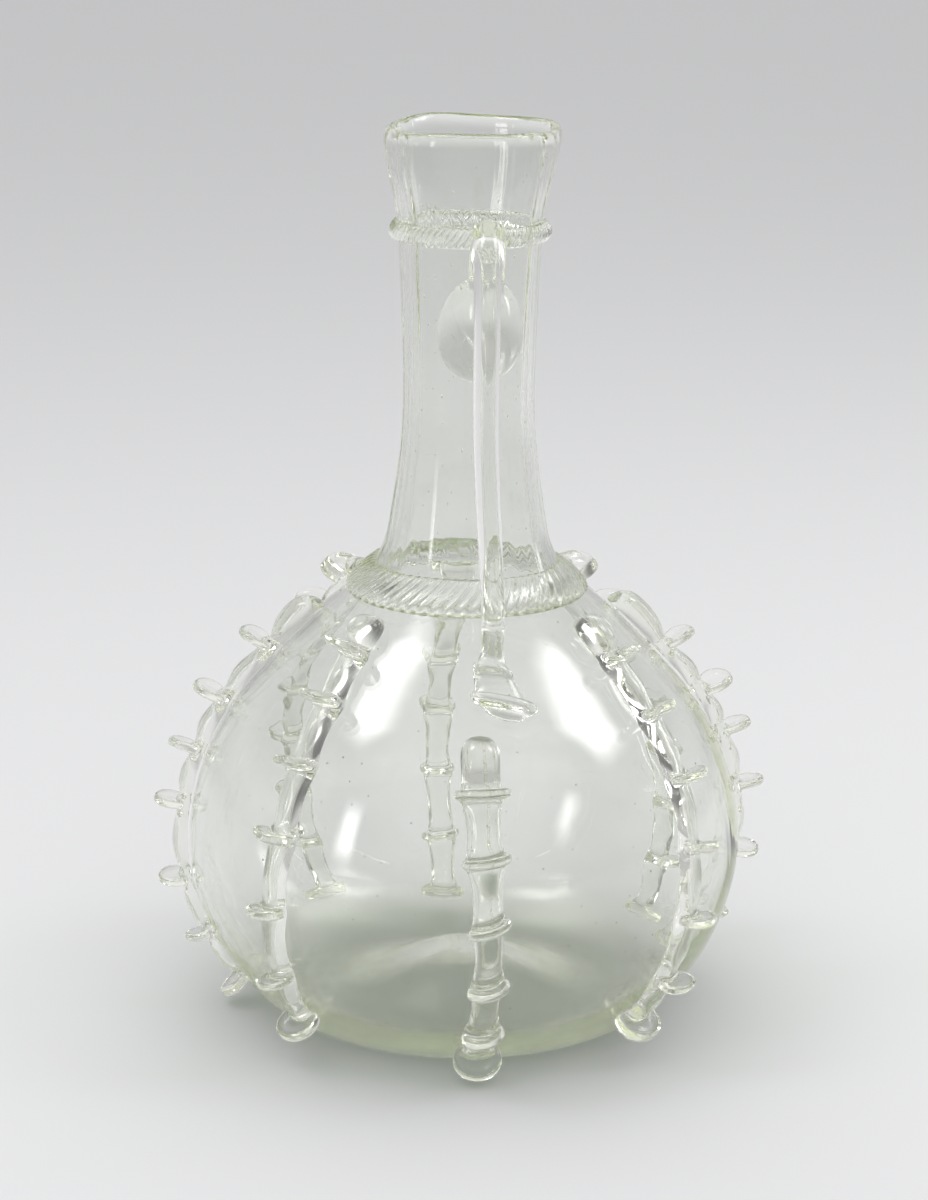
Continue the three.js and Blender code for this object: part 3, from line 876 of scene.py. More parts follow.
@dataclass
class Vessel:
    """The free-blown body: globe, neck, mouth, lip, kick and foot in one wall of glass."""

    finish: GlassFinish
    kick_height: float = 13.0
    kick_flatness: float = 1.1
    foot_land: float = 4.0
    floor_wall: float = 4.6
    floor_turn: float = 9.5
    floor_round: float = 26.0
    globe_wall: float = 2.0
    neck_wall: float = 2.4
    rim_wall: float = 3.4
    rim_start: float = 236.0
    rim_rise: float = 4.0
    rim_squareness: float = 0.8
    pouring_lip: Pull = Pull(direction=207.0, reach=1.8, lift=0.9, sharpness=9.0)
    corner: Pull = Pull(direction=100.0, reach=1.3, lift=1.0, sharpness=12.0)
    pull_depth: float = 22.0
    outer_waves: Waves = ((0.22, 2, 3.1, 0.4), (0.16, 3, -5.3, 1.9), (0.1, 5, 8.7, 4.1))
    inner_waves: Waves = ((0.2, 2, -4.2, 2.2), (0.14, 4, 7.1, 0.3), (0.08, 7, -12.0, 5.0))
    drawn_lines: Waves = ((0.07, 13, 0.6, 0.8), (0.05, 21, -0.9, 2.6), (0.04, 34, 0.5, 1.1))
    rim_waves: Waves = ((0.35, 2, 0, 2.0), (0.22, 3, 0, 0.6), (0.12, 5, 0, 3.3))
    middle_depth: float = 0.9
    foot_blend: float = 12.0
    neck_start: float = 120.0
    neck_blend: float = 20.0
    half_share: float = 0.5
    neck_share: float = 0.3
    spin_steps: int = 168
    under_rows: int = 12
    lower_rows: int = 18
    upper_rows: int = 14
    neck_rows: int = 51
    rim_rows: int = 10
    turn_rows: int = 16
    floor_rows: int = 10

    def wall(self, height: float) -> float:
        """Gives the wall's thickness: thick low down and at the rim, thin in the globe.

        Args:
            height: The height, in millimetres.

        Returns:
            The thickness, in millimetres.
        """
        if height < OUTLINE.equator:
            fall = 1 - height / OUTLINE.equator
            return self.globe_wall + (self.floor_wall - self.globe_wall) * fall**3
        neck_foot = OUTLINE.knots[2][0]
        up = min(1.0, (height - OUTLINE.equator) / (neck_foot - OUTLINE.equator))
        mouth = max(0.0, (height - self.rim_start) / (OUTLINE.mouth - self.rim_start))
        wall = self.globe_wall + (self.neck_wall - self.globe_wall) * up
        return wall + (self.rim_wall - self.neck_wall) * mouth**1.5

    def kick(self, radius: float) -> float:
        """Gives how high the kick lifts the base at a radius."""
        part = min(1.0, radius / (OUTLINE.foot_radius - self.foot_land))
        return self.kick_height * (1 + math.cos(math.pi * part**self.kick_flatness)) / 2

    def heights(self) -> list[float]:
        """Lists the heights of the outline's points, closer where it bends.

        Returns:
            The heights from the foot to the mouth.
        """
        rows, quarter = self.lower_rows, math.pi / 2
        low = [OUTLINE.equator * (1 - math.cos(quarter * i / rows)) for i in range(1, rows + 1)]
        rows, span = self.upper_rows, OUTLINE.shoulder - OUTLINE.equator
        up = [OUTLINE.equator + span * math.sin(quarter * i / rows) for i in range(1, rows + 1)]
        neck = np.linspace(OUTLINE.shoulder, OUTLINE.mouth, self.neck_rows + 1)[1:]
        return [*low, *up, *neck]

    def inner(self, height: float) -> tuple[float, float]:
        """Gives the inner surface's point across from the outer one at a height."""
        return OUTLINE.off(height, -self.wall(height))

    def profile(self) -> Profile:
        """Draws the wall's whole outline.

        Returns:
            Its points from the kick's centre round the foot, up and over the rim, and down
            inside to the axis.
        """
        land, rows = OUTLINE.foot_radius - self.foot_land, self.under_rows
        under = [(land * i / rows, self.kick(land * i / rows)) for i in range(rows + 1)]
        outside = [(OUTLINE.radius(z), z) for z in self.heights()]
        middle = OUTLINE.knots[-1][1] - self.rim_wall / 2
        rim = []
        for i in range(1, self.rim_rows):
            turn = math.pi * i / self.rim_rows
            lift = self.rim_rise * math.sin(turn) ** self.rim_squareness
            rim.append((middle + self.rim_wall / 2 * math.cos(turn), OUTLINE.mouth + lift))
        inside = [self.inner(z) for z in reversed(self.heights()) if z > self.floor_turn]
        floor = self.inner_floor(inside[-1], inside[-2])
        return [*under, (OUTLINE.foot_radius, 0.0), *outside, *rim, *inside, *floor]

    def inner_floor(self, wall_end: tuple[float, float], before: tuple[float, float]) -> Profile:
        """Rounds the inner surface from the wall to the floor and over the kick.

        Args:
            wall_end: The wall's lowest inner point.
            before: The point above it.

        Returns:
            Radius and height of the points, to the axis.
        """
        end = (self.floor_round, self.kick(self.floor_round) + self.floor_wall)
        slope = (self.kick(end[0] + 0.1) - self.kick(end[0] - 0.1)) / 0.2
        span = wall_end[0] - end[0]
        run, fall = wall_end[0] - before[0], wall_end[1] - before[1]
        leave = (run / math.hypot(run, fall) * span, fall / math.hypot(run, fall) * span)
        arrive = (-span, -slope * span)
        points = []
        for i in range(1, self.turn_rows + 1):
            bend, away, into = ease(i / self.turn_rows)
            points.append(
                tuple(
                    wall_end[k] * (1 - bend) + end[k] * bend + leave[k] * away + arrive[k] * into
                    for k in range(2)
                )
            )
        for i in range(1, self.floor_rows + 1):
            radius = end[0] * (1 - i / self.floor_rows)
            points.append((radius, self.kick(radius) + self.floor_wall))
        return points

    def shape_by_hand(self, piece: Piece) -> None:
        """Gives the turned wall its lip and the unevenness of blown glass.

        Args:
            piece: The turned wall.
        """
        points = points_of(piece)
        height = points[:, 2]
        middle = OUTLINE.radii(height) - self.middle_depth
        is_inside = np.hypot(points[:, 0], points[:, 1]) < middle
        neck = np.clip((height - self.neck_start) / self.neck_blend, 0, 1)
        globe = np.clip(height / self.foot_blend, 0, 1) * (1 - neck)
        slow = wave(points, self.outer_waves)
        inner = wave(points, self.inner_waves)
        lines = wave(points, self.drawn_lines)
        half, small = self.half_share, self.neck_share
        amount = half * slow * globe + small * slow * neck
        amount += np.where(is_inside, inner * globe + (lines + half * inner) * neck, 0.0)
        amount += np.where(is_inside, 0.0, small * lines * neck)
        points = push_out(points, amount)

        top = OUTLINE.mouth + self.rim_rise
        depth = np.clip((height - top + self.pull_depth) / self.pull_depth, 0, 1)
        turn = turns_of(points)
        for pull in (self.pouring_lip, self.corner):
            share = depth**2 * pull.share(turn)
            points = push_out(points, pull.reach * share)
            points[:, 2] += pull.lift * share
        points[:, 2] += wave(points, self.rim_waves) * depth**3
        move_points(piece, points)

    def build(self) -> Piece:
        """Turns the wall and shapes it.

        Returns:
            The finished vessel.
        """
        piece = turn_profile("vessel", self.profile(), self.spin_steps)
        self.shape_by_hand(piece)
        Seeds(self).build(piece)
        return hand_over(piece, self.finish.build(), "blown_body")


@dataclass
class Seeds:
    """Tiny bubbles held in the wall, drawn out along the neck."""

    vessel: Vessel
    count: int = 520
    smallest: float = 0.13
    largest: float = 0.33
    lowest: float = 6.0
    span: float = 236.0
    crowding: float = 1.35
    golden_turn: float = 137.508
    turn_slack: float = 9.0
    depths: Span = (0.4, 0.6)
    neck_foot: float = 130.0
    neck_draw: float = 1.9
    globe_draw: float = 1.15
    chance: int = 11

    def build(self, wall: Piece) -> None:
        """Models one bubble, copies it through the wall and makes the copies hollows of it.

        Args:
            wall: The finished vessel.
        """
        deselect()
        bpy.ops.mesh.primitive_ico_sphere_add(subdivisions=1, radius=MM, location=(0, 0, 0))
        seeds = bpy.context.object
        shape = points_of(seeds)
        faces = np.array([tuple(face.vertices) for face in seeds.data.polygons])
        chance = np.random.default_rng(self.chance)
        points, loops = [], []
        for i in range(self.count):
            height = self.lowest + self.span * ((i + 0.5) / self.count) ** self.crowding
            slack = chance.uniform(-self.turn_slack, self.turn_slack)
            turn = math.radians(self.golden_turn * i + slack)
            depth = self.vessel.wall(height) * chance.uniform(*self.depths)
            radius, level = OUTLINE.off(height, -depth)
            size = self.smallest + (self.largest - self.smallest) * chance.random() ** 3
            drawn = self.neck_draw if height > self.neck_foot else self.globe_draw
            middle = (radius * math.sin(turn), -radius * math.cos(turn), level)
            points.append(shape * size * (1, 1, drawn) + middle)
            loops.append(faces + i * len(shape))
        mesh = bpy.data.meshes.new("seeds")
        mesh.from_pydata(np.vstack(points) * MM, [], np.vstack(loops).tolist())
        seeds.data = mesh
        open_mesh(seeds)
        bpy.ops.mesh.flip_normals()
        close_mesh()
        smooth(seeds)
        make_active(wall)
        seeds.select_set(True)
        bpy.ops.object.join()


# Milled bands


@dataclass
class MilledBand:
    """A ring of glass laid round the body and notched all round with a milling wheel.

    Seen from outside, notches of a lean above 0 rise to the right.
    """

    name: str
    node: str
    top: float
    bottom: float
    stand: float
    upper_stand: float
    lower_stand: float
    notches: int
    notch_depth: float
    lean_degrees: float
    finish: GlassFinish
    crown: float = 0.55
    belly: float = 0.35
    upper_crown: float = 0.82
    notch_sharpness: float = 1.25
    notch_slack: float = 0.12
    slack_waves: tuple[int, int] = (7, 3)
    plain_edge: float = 0.12
    lap_direction: float | None = None
    lap_rise: float = 1.7
    lap_tails: Span = (11.0, 3.0)
    wobble: Waves = ((0.22, 2, 0, 0.7), (0.14, 3, 0, 2.4), (0.08, 7, 0, 4.0))
    seat: float = -0.45
    steps_per_notch: int = 10
    rows: int = 10

    def profile(self) -> Profile:
        """Draws the band's section.

        Returns:
            Its points: the seat from the bottom up, then the face down again.
        """
        points = []
        for i in range(self.rows + 1):
            height = self.bottom + (self.top - self.bottom) * i / self.rows
            points.append(OUTLINE.off(height, self.seat))
        for i in range(self.rows + 3):
            down = i / (self.rows + 2)
            height = self.top - (self.top - self.bottom) * down
            points.append(OUTLINE.off(height, self.seat + self.face(down)))
        return [*points, points[0]]

    def face(self, down: float) -> float:
        """Gives how far the band stands out.

        Args:
            down: Where, from 0 at its top edge to 1 at its bottom edge.

        Returns:
            The stand above its seat, in millimetres.
        """
        edge = self.upper_stand + (self.lower_stand - self.upper_stand) * down
        crown = math.sin(math.pi * min(1.0, max(0.0, down))) ** self.crown
        lean = self.belly * math.sin(math.pi * down) * (down - 0.5) * self.lower_stand
        fullness = self.upper_crown + (1 - self.upper_crown) * down
        return edge + (self.stand - edge) * crown * fullness + lean

    def mill(self, points: np.ndarray) -> np.ndarray:
        """Presses the notches into a turned ring and makes it uneven.

        Args:
            points: The ring's points in millimetres.

        Returns:
            The points of the milled ring.
        """
        radius = np.hypot(points[:, 0], points[:, 1])
        across = np.array([OUTLINE.normal(z)[0] for z in points[:, 2]])
        off = (radius - OUTLINE.radii(points[:, 2])) * across - self.seat
        down = (self.top - points[:, 2]) / (self.top - self.bottom)
        full = np.clip(off / (self.stand / 2), 0, 1)
        full *= np.clip((1 - down) / self.plain_edge, 0, 1)
        turn = np.degrees(turns_of(points))
        slant = turn + self.lean_degrees * (down - 0.5)
        valley = (1 - np.abs(np.sin(np.radians(slant * self.notches / 2)))) ** self.notch_sharpness
        fast, slow = self.slack_waves
        slack = np.sin(np.radians(turn * fast)) * np.sin(np.radians(turn * slow) + 1)
        uneven = 1 + self.notch_slack * slack
        points = push_out(points, -(self.notch_depth * valley * full * uneven))
        points[:, 2] += wave(points, self.wobble) * full
        if self.lap_direction is not None:
            past = (turn - self.lap_direction + 180) % 360 - 180
            reach = np.where(past < 0, *self.lap_tails)
            points[:, 2] += self.lap_rise * np.exp(-((past / reach) ** 2)) * full
        return points

    def build(self) -> Piece:
        """Turns the ring and mills its notches.

        Returns:
            The finished band.
        """
        ring = turn_profile(self.name, self.profile(), self.notches * self.steps_per_notch)
        move_points(ring, self.mill(points_of(ring)))
        return hand_over(ring, self.finish.build(), self.node)


# Trails


@dataclass
class PinchedTrail:
    """One trail down the globe: a thick root, pinched fins with a strap between, and a toe.

    Rows of the strap's sections give how far they lie from a mark, then shares of its width
    and stand. The toe's pinch is its thickness, slant and cup.
    """

    number: int
    direction: float
    swing: float
    root: float
    fins: tuple[float, ...]
    toe: float
    widths: tuple[float, ...]
    finish: Material
    slants: tuple[float, ...] = ()
    slant_slack: float = 0.14
    size_slack: float = 0.03
    disc_thickness: float = 2.6
    first_thickness: float = 2.6
    waist_share: float = 0.69
    shoulder_share: float = 0.72
    flare_share: float = 0.95
    bell_share: float = 0.86
    bell_reach: float = 2.4
    flare_stands: Triple = (1.08, 1.2, 1.16)
    strap_stand: float = 5.8
    dip_stand: float = 3.8
    root_width: float = 11.0
    root_stand: float = 7.6
    root_round: tuple[Triple, ...] = ((-0.3, 0.3, 0.26), (0.6, 0.58, 0.54), (1.8, 0.8, 0.82))
    root_crown: float = 4.4
    crown_stand: float = 1.03
    root_neck: Triple = (0.78, 0.95, 0.92)
    waist_rows: tuple[Span, ...] = ((0.37, 0.97), (0.62, 1.0))
    fin_stand: float = 12.6
    fin_reach: float = 2.8
    toe_width: float = 12.8
    toe_stand: float = 9.8
    toe_shift: float = 0.0
    toe_end: Triple = (1.6, 0.68, 0.8)
    toe_pinch: Triple = (3.2, -0.06, 0.3)
    thinning: float = 0.22
    thinning_start: float = 30.0
    thinning_end: float = 118.0
    drift: float = 0.9
    drift_length: float = 17.0
    seat: float = 0.25
    level: float = 0.3
    level_fade: float = 4.0
    smoothing: int = 9

    def thinned(self, length: float) -> float:
        """Gives the share of its full size that the glass still has at a length down."""
        part = (length - self.thinning_start) / (self.thinning_end - self.thinning_start)
        return 1 - self.thinning * min(1.0, max(0.0, part))

    def stops(self) -> list[Stop]:
        """Lists the sections of the strap before its discs are pressed on.

        Returns:
            A round root, then a flare under each disc and a waist between them.
        """
        hump = self.fins[0] - self.fin_reach - self.root
        crown = (min(self.root_crown, hump / 2), 1.0, self.crown_stand)
        neck_at, *neck = self.root_neck
        stops = [
            Stop(self.root + along, self.root_width * width, self.root_stand * stand)
            for along, width, stand in (*self.root_round, crown, (hump * neck_at, *neck))
        ]
        marks = [*self.fins, self.toe]
        sizes = [*self.widths, self.widths[-1]]
        for i, (at, size) in enumerate(zip(marks, sizes)):
            above, middle, below = self.flare_stands
            flare = [
                (-self.fin_reach, self.shoulder_share, above),
                (0.0, self.flare_share, middle),
                self.toe_end if at == self.toe else (self.bell_reach, self.bell_share, below),
            ]
            dip = self.dip_stand * self.thinned(at)
            stops.extend(Stop(at + a, size * w, dip * s) for a, w, s in flare)
            if at != self.toe:
                gap = marks[i + 1] - at
                waist = self.waist_share * (size + sizes[i + 1]) / 2
                bow = self.strap_stand * self.thinned(at + gap / 2)
                stops.extend(Stop(at + gap * a, waist, bow * s) for a, s in self.waist_rows)
        return stops

    def pinches(self) -> list[Pinch]:
        """Lists the discs and the toe, each a little different.

        Returns:
            The discs in order down the trail, then the toe.
        """
        pinches = []
        for i, (at, size) in enumerate(zip(self.fins, self.widths)):
            odd = self.size_slack * math.sin(2.4 * i + 1.7 * self.number)
            tilt = self.slant_slack * math.sin(1.9 * i + self.number)
            slant = self.slants[i] if self.slants else tilt
            thickness = self.disc_thickness if i else self.first_thickness
            stand = self.fin_stand * self.thinned(at) * (1 + odd)
            pinches.append(Pinch(at, size * (1 + odd), stand, thickness, slant))
        return [*pinches, Pinch(self.toe, self.toe_width, self.toe_stand, *self.toe_pinch)]

    def lay(self, piece: Piece) -> None:
        """Lays the flat trail on the globe, following its outline round and down.

        Args:
            piece: The straight trail.
        """
        points = points_of(piece)
        length = lean_discs(points, self.pinches())
        off = np.maximum(points[:, 2], 0) + self.seat
        level = self.level * np.clip(off / self.fin_stand, 0, 1)
        level *= np.clip((self.toe - self.level_fade - length) / self.level_fade, 0, 1)
        radius, height, ground = TABLE.seat(length, off, level)
        down = (length - self.root) / (self.toe - self.root)
        drift = self.drift * np.sin(length / self.drift_length + self.number * 2.1)
        drift += np.interp(length, (self.fins[-1], self.toe), (0.0, self.toe_shift))
        centre = np.radians(self.direction + self.swing * down) + drift / ground
        turn = centre + points[:, 0] / ground
        move_points(piece, round_axis(radius, turn, height))

    def build(self) -> Piece:
        """Makes the trail straight, then lays it on the globe.

        Returns:
            The finished trail.
        """
        name = f"trail_{self.number}"
        piece = pinch_bar(name, self.stops(), self.pinches(), self.smoothing)
        self.lay(piece)
        finish_shell(piece)
        return hand_over(piece, self.finish, f"pinched_trail_{self.number}")


# Handle


@dataclass
class Handle:
    """One drawn piece: a drop on the neck, a looped strap, and a tail pinched on the shoulder."""

    finish: GlassFinish
    throat: float = 224.8
    root_down: float = 22.5
    drop_down: float = 24.6
    drop_height: float = 30.0
    drop_width: float = 23.6
    drop_stand: float = 5.2
    drop_taper: float = 0.1
    drop_shift: float = 1.8
    drop_fullness: float = 0.8
    mound_stand: float = 5.0
    mound_width: float = 6.4
    mound_top: float = 0.7
    reach: float = 46.4
    top_rise: float = 4.8
    strap_thickness: float = 7.0
    strap_sections: int = 64
    seat: float = 0.3
    tail_direction: float = 5.8
    tail_landing: float = 8.0
    tail_fold: float = 18.5
    tail_lip: float = 29.0
    tail_end: float = 33.4
    tail_level: float = 0.1 / 9
    tail_bend: tuple[Span, ...] = ((0.0, 0.0), (0.5, -1.5), (1.0, 0.8), (1.2, 0.6))
    stations: list[tuple[float, float, float, float]] = field(default_factory=list)

    def __post_init__(self) -> None:
        """Sets the strap's centre line: ahead, height, sideways shift and width."""
        top = self.throat + self.top_rise
        root = self.throat - self.root_down
        start = OUTLINE.radius(root) + self.strap_thickness / 2
        out = self.reach - start
        length = np.array([self.tail_landing])
        ahead, landing, _ = TABLE.seat(length, np.array([self.strap_thickness / 2]), np.zeros(1))
        rise, fall = top - root, top - float(landing[0])
        self.stations = [
            (start - 1.5, root - 4, 2.6, 10.6),
            (start, root + rise * 0.35, 2.6, 10.4),
            (start + out * 0.2, root + rise * 0.76, 2.6, 10.2),
            (start + out * 0.6, top, 2.0, 9.6),
            (start + out * 0.93, top - rise * 0.22, 1.3, 8.6),
            (self.reach, top - rise * 0.6, 1.3, 7.6),
            (self.reach, top - fall * 0.5, 1.3, 7.2),
            (self.reach, top - fall * 0.8, 3.0, 7.0),
            (float(ahead[0]), float(landing[0]), 4.6, 6.6),
        ]

    def centre_line(self, count: int) -> tuple[np.ndarray, np.ndarray]:
        """Runs a smooth curve through the stations.

        Args:
            count: How many points to give.

        Returns:
            The points, and the strap's width at each.
        """
        knots = np.array([(s, -a, z) for a, z, s, _ in self.stations])
        widths = np.array([w for *_, w in self.stations])
        spans = np.sqrt(np.linalg.norm(np.diff(knots, axis=0), axis=1))
        marks = np.concatenate([[0.0], np.cumsum(spans)])
        slopes = np.gradient(knots, marks, axis=0)
        at = np.linspace(0, marks[-1], count)
        index = np.clip(np.searchsorted(marks, at, side="right") - 1, 0, len(marks) - 2)
        span = marks[index + 1] - marks[index]
        t = ((at - marks[index]) / span)[:, None]
        span = span[:, None]
        line = (
            knots[index] * (1 + 2 * t) * (1 - t) ** 2
            + slopes[index] * span * t * (1 - t) ** 2
            + knots[index + 1] * t * t * (3 - 2 * t)
            + slopes[index + 1] * span * t * t * (t - 1)
        )
        return line, np.interp(at, marks, widths)

    def make_strap(self) -> Piece:
        """Draws a straight bar and bends it along the centre line.

        Returns:
            The strap.
        """
        line, widths = self.centre_line(self.strap_sections)
        gaps = np.linalg.norm(np.diff(line, axis=0), axis=1)
        along = np.concatenate([[0.0], np.cumsum(gaps)])
        stops = [Stop(float(a), float(w), self.strap_thickness) for a, w in zip(along, widths)]
        bar = draw_bar("handle_strap", stops)
        points = points_of(bar)
        tangent = np.gradient(line, along, axis=0)
        tangent /= np.linalg.norm(tangent, axis=1)[:, None]
        side = np.array([1.0, 0.0, 0.0])
        outward = np.cross(tangent, side)
        outward /= np.linalg.norm(outward, axis=1)[:, None]
        base, out = (
            np.column_stack([np.interp(points[:, 1], along, rows[:, i]) for i in range(3)])
            for rows in (line, outward)
        )
        off = (points[:, 2] - self.strap_thickness / 2)[:, None]
        move_points(bar, base + side * points[:, :1] + out * off)
        apply_modifier(bar, "SUBSURF", levels=ROUNDING, render_levels=ROUNDING)
        return bar

    def make_drop(self) -> Piece:
        """Presses a round drop flat against the neck.

        Returns:
            The drop.
        """
        deselect()
        bpy.ops.mesh.primitive_uv_sphere_add(
            segments=48, ring_count=32, radius=MM, rotation=(math.pi / 2, 0, 0)
        )
        drop = bpy.context.object
        drop.name = "handle_drop"
        apply_place(drop)
        points = points_of(drop)
        middle = self.throat - self.drop_down
        aside = points[:, 0] * self.drop_width / 2 * (1 - self.drop_taper * points[:, 2])
        height = middle + points[:, 2] * self.drop_height / 2
        dome = np.clip(-points[:, 1], 0, 1)
        above = np.clip(self.mound_top + points[:, 2], 0, 1)
        mound = np.exp(-((aside / self.mound_width) ** 2)) * above * above * (3 - 2 * above)
        out = dome**self.drop_fullness * self.drop_stand + dome * mound * self.mound_stand
        ground = OUTLINE.radii(height)
        turn = (aside + self.drop_shift) / ground
        move_points(drop, round_axis(ground + self.seat + out, turn, height))
        return drop

    def make_tail(self) -> Piece:
        """Draws the tail's paddle, pinches its fold and its lip, and lays it on the shoulder.

        Returns:
            The tail.
        """
        landing, fold, lip = self.tail_landing, self.tail_fold, self.tail_lip
        stops = [
            Stop(landing - 4.5, 5.2, 5.4),
            Stop(landing - 2, 6.2, 7.0),
            Stop(landing + 3, 6.0, 6.6),
            Stop(landing + 6, 6.4, 5.4),
            Stop(fold - 1.5, 9.0, 4.0),
            Stop(fold + 1.5, 10.8, 3.4),
            Stop((fold + lip) / 2 + 0.6, 13.0, 2.6),
            Stop(lip, 14.8, 2.8),
            Stop(lip + 2.4, 12.8, 1.6),
            Stop(self.tail_end, 9.0, 1.0),
        ]
        pinches = [
            Pinch(fold, width=10.6, stand=5.0, thickness=2.6, slant=0.27, cup=0.3),
            Pinch(lip, width=17.4, stand=6.2, thickness=3.2, slant=0.3, cup=0.3),
        ]
        tail = pinch_bar("handle_tail", stops, pinches, rounds=6)
        points = points_of(tail)
        length = lean_discs(points, pinches)
        down = np.clip((length - landing) / (lip - landing), 0, 1.2)
        aside = points[:, 0] + np.interp(down, *zip(*self.tail_bend))
        off = np.maximum(points[:, 2], 0) + self.seat
        radius, height, ground = TABLE.seat(length, off, self.tail_level * off)
        turn = math.radians(self.tail_direction) + aside / ground
        move_points(tail, round_axis(radius, turn, height))
        return tail

    def lift_off_body(self, piece: Piece) -> None:
        """Pushes out the points that the smoothing has sunk into the body.

        Args:
            piece: The fused handle.
        """
        points = points_of(piece)
        radius = np.hypot(points[:, 0], points[:, 1])
        least = OUTLINE.radii(points[:, 2]) + self.seat
        move_points(piece, push_out(points, np.maximum(least - radius, 0)))

    def build(self) -> Piece:
        """Makes the three parts and fuses them into one piece of glass.

        Returns:
            The finished handle.
        """
        parts = [self.make_strap(), self.make_drop(), self.make_tail()]
        handle = fuse(parts, "drawn_handle", rounds=14)
        self.lift_off_body(handle)
        return hand_over(handle, self.finish.build(), "handle")


# Studio


@dataclass(frozen=True)
class Panel:
    """A soft lamp: its name, place and size in metres, and its power in watts."""

    name: str
    place: Triple
    size: Span
    power: float
    edge: float = 0.38
    aim: float = 0.11

    def hang(self) -> None:
        """Hangs the lamp so that it faces the carafe, its light fading towards its edges."""
        deselect()
        bpy.ops.object.light_add(type="AREA", location=self.place)
        lamp = bpy.context.object
        lamp.name = self.name
        lamp.data.shape = "RECTANGLE"
        lamp.data.size, lamp.data.size_y = self.size
        lamp.data.energy = self.power
        x, y, z = self.place
        tilt = math.atan2(math.hypot(x, y), z - self.aim)
        lamp.rotation_euler = (tilt, 0.0, math.atan2(y, x) + math.pi / 2)

        bench = NodeBench(lamp.data)
        where = bench.add("NewGeometry")["Parametric"]
        across = bench.add("SeparateXYZ", {0: where})
        fades = []
        for i in range(2):
            inward = bench.math("PINGPONG", across[i], 0.5)
            full = (0.0, 1 / (1 - self.edge))
            fades.append(bench.span(inward, (0.0, self.edge), full, "SMOOTHSTEP"))
        bench.feed(bench.nodes["Emission"], {"Strength": bench.math("MULTIPLY", *fades)})


@dataclass
class Studio:
    """Pale floor, soft lamps, plain world light and the camera."""

    floor_finish: FloorFinish = field(default_factory=FloorFinish)
    floor_radius: float = 20.0
    floor_gap: float = 0.0004
    camera_turn: float = 4.3
    camera_distance: float = 945.0
    camera_aside: float = -0.65
    camera_height: float = 367.6
    camera_pitch: float = 14.72
    camera_roll: float = 0.62
    lens: float = 103.9
    sensor: float = 36.0
    clip: Span = (0.05, 50.0)
    horizon: Colour = (0.53, 0.53, 0.533)
    overhead: Colour = (0.92, 0.925, 0.93)
    sky_span: Span = (0.02, 0.75)
    side_span: Span = (0.35, 0.8)
    high_span: Span = (0.14, 0.4)
    side_level: float = 0.24
    panels: tuple[Panel, ...] = (
        Panel("upper_left", (-0.62, -0.08, 1.2), (0.52, 0.8), 3.6),
        Panel("upper_right", (0.86, -0.1, 1.05), (0.6, 0.8), 3.8),
        Panel("low_left", (-1.0, -0.72, 0.4), (0.26, 0.7), 1.4),
        Panel("tall_right", (1.15, 0.35, 0.5), (0.2, 0.9), 1.2),
    )
    glass_bounces: int = 256
    gloss_bounces: int = 64
    shadow_bounces: int = 32

    def make_floor(self) -> None:
        """Lays the floor."""
        deselect()
        bpy.ops.mesh.primitive_circle_add(
            vertices=96,
            radius=self.floor_radius,
            fill_type="NGON",
            location=(0, 0, -self.floor_gap),
        )
        floor = bpy.context.object
        floor.name = "studio_floor"
        apply_place(floor)
        floor.data.materials.append(self.floor_finish.build())

    def make_world(self) -> None:
        """Sets the world's light: pale all round, paler overhead, dimmer high up at the sides."""
        world = bpy.data.worlds.new("studio_air")
        bpy.context.scene.world = world
        bench = NodeBench(world)
        bench.nodes.clear()
        where = bench.add("TexCoord")["Generated"]
        axes = bench.add("SeparateXYZ", {"Vector": where})
        colour = bench.ramp(axes["Z"], self.sky_span, self.horizon, self.overhead)
        aside = bench.math("ABSOLUTE", axes["X"])
        beside = bench.span(aside, self.side_span, kind="SMOOTHSTEP")
        high = bench.span(axes["Z"], self.high_span, kind="SMOOTHSTEP")
        dimming = bench.math("MULTIPLY", beside, high)
        level = bench.span(dimming, ends=(1.0, self.side_level))
        light = bench.add("Background", {"Color": colour, "Strength": level})["Background"]
        bench.add("OutputWorld", {"Surface": light})

    def make_camera(self) -> None:
        """Sets the camera at the photograph's viewing angle."""
        turn = math.radians(self.camera_turn)
        aside, back = self.camera_aside * MM, -self.camera_distance * MM
        place = (
            aside * math.cos(turn) + back * math.sin(turn),
            -aside * math.sin(turn) + back * math.cos(turn),
            self.camera_height * MM,
        )
        deselect()
        bpy.ops.object.camera_add(location=place)
        camera = bpy.context.object
        camera.name = "studio_camera"
        camera.rotation_euler = (math.radians(90 - self.camera_pitch), 0, -turn)
        camera.rotation_euler.rotate_axis("Z", math.radians(self.camera_roll))
        camera.data.lens = self.lens
        camera.data.sensor_width = self.sensor
        camera.data.clip_start, camera.data.clip_end = self.clip
        bpy.context.scene.camera = camera

    def build(self) -> None:
        """Sets up the whole studio and how light paths are followed through the glass."""
        scene = bpy.context.scene
        scene.view_settings.view_transform = "Standard"
        self.make_camera()
        self.make_floor()
        self.make_world()
        for panel in self.panels:
            panel.hang()
        scene.cycles.max_bounces = self.glass_bounces
        scene.cycles.transmission_bounces = self.glass_bounces
        scene.cycles.glossy_bounces = self.gloss_bounces
        scene.cycles.transparent_max_bounces = self.shadow_bounces
        scene.cycles.caustics_refractive = False
        scene.cycles.caustics_reflective = False


# Main


def spaced(first: float, last: float, count: int, spread: float = 1.0) -> tuple[float, ...]:
    """Spreads values between two ends, the last ones farther apart where spread is above 1."""
    return tuple(first + (last - first) * (i / (count - 1)) ** spread for i in range(count))


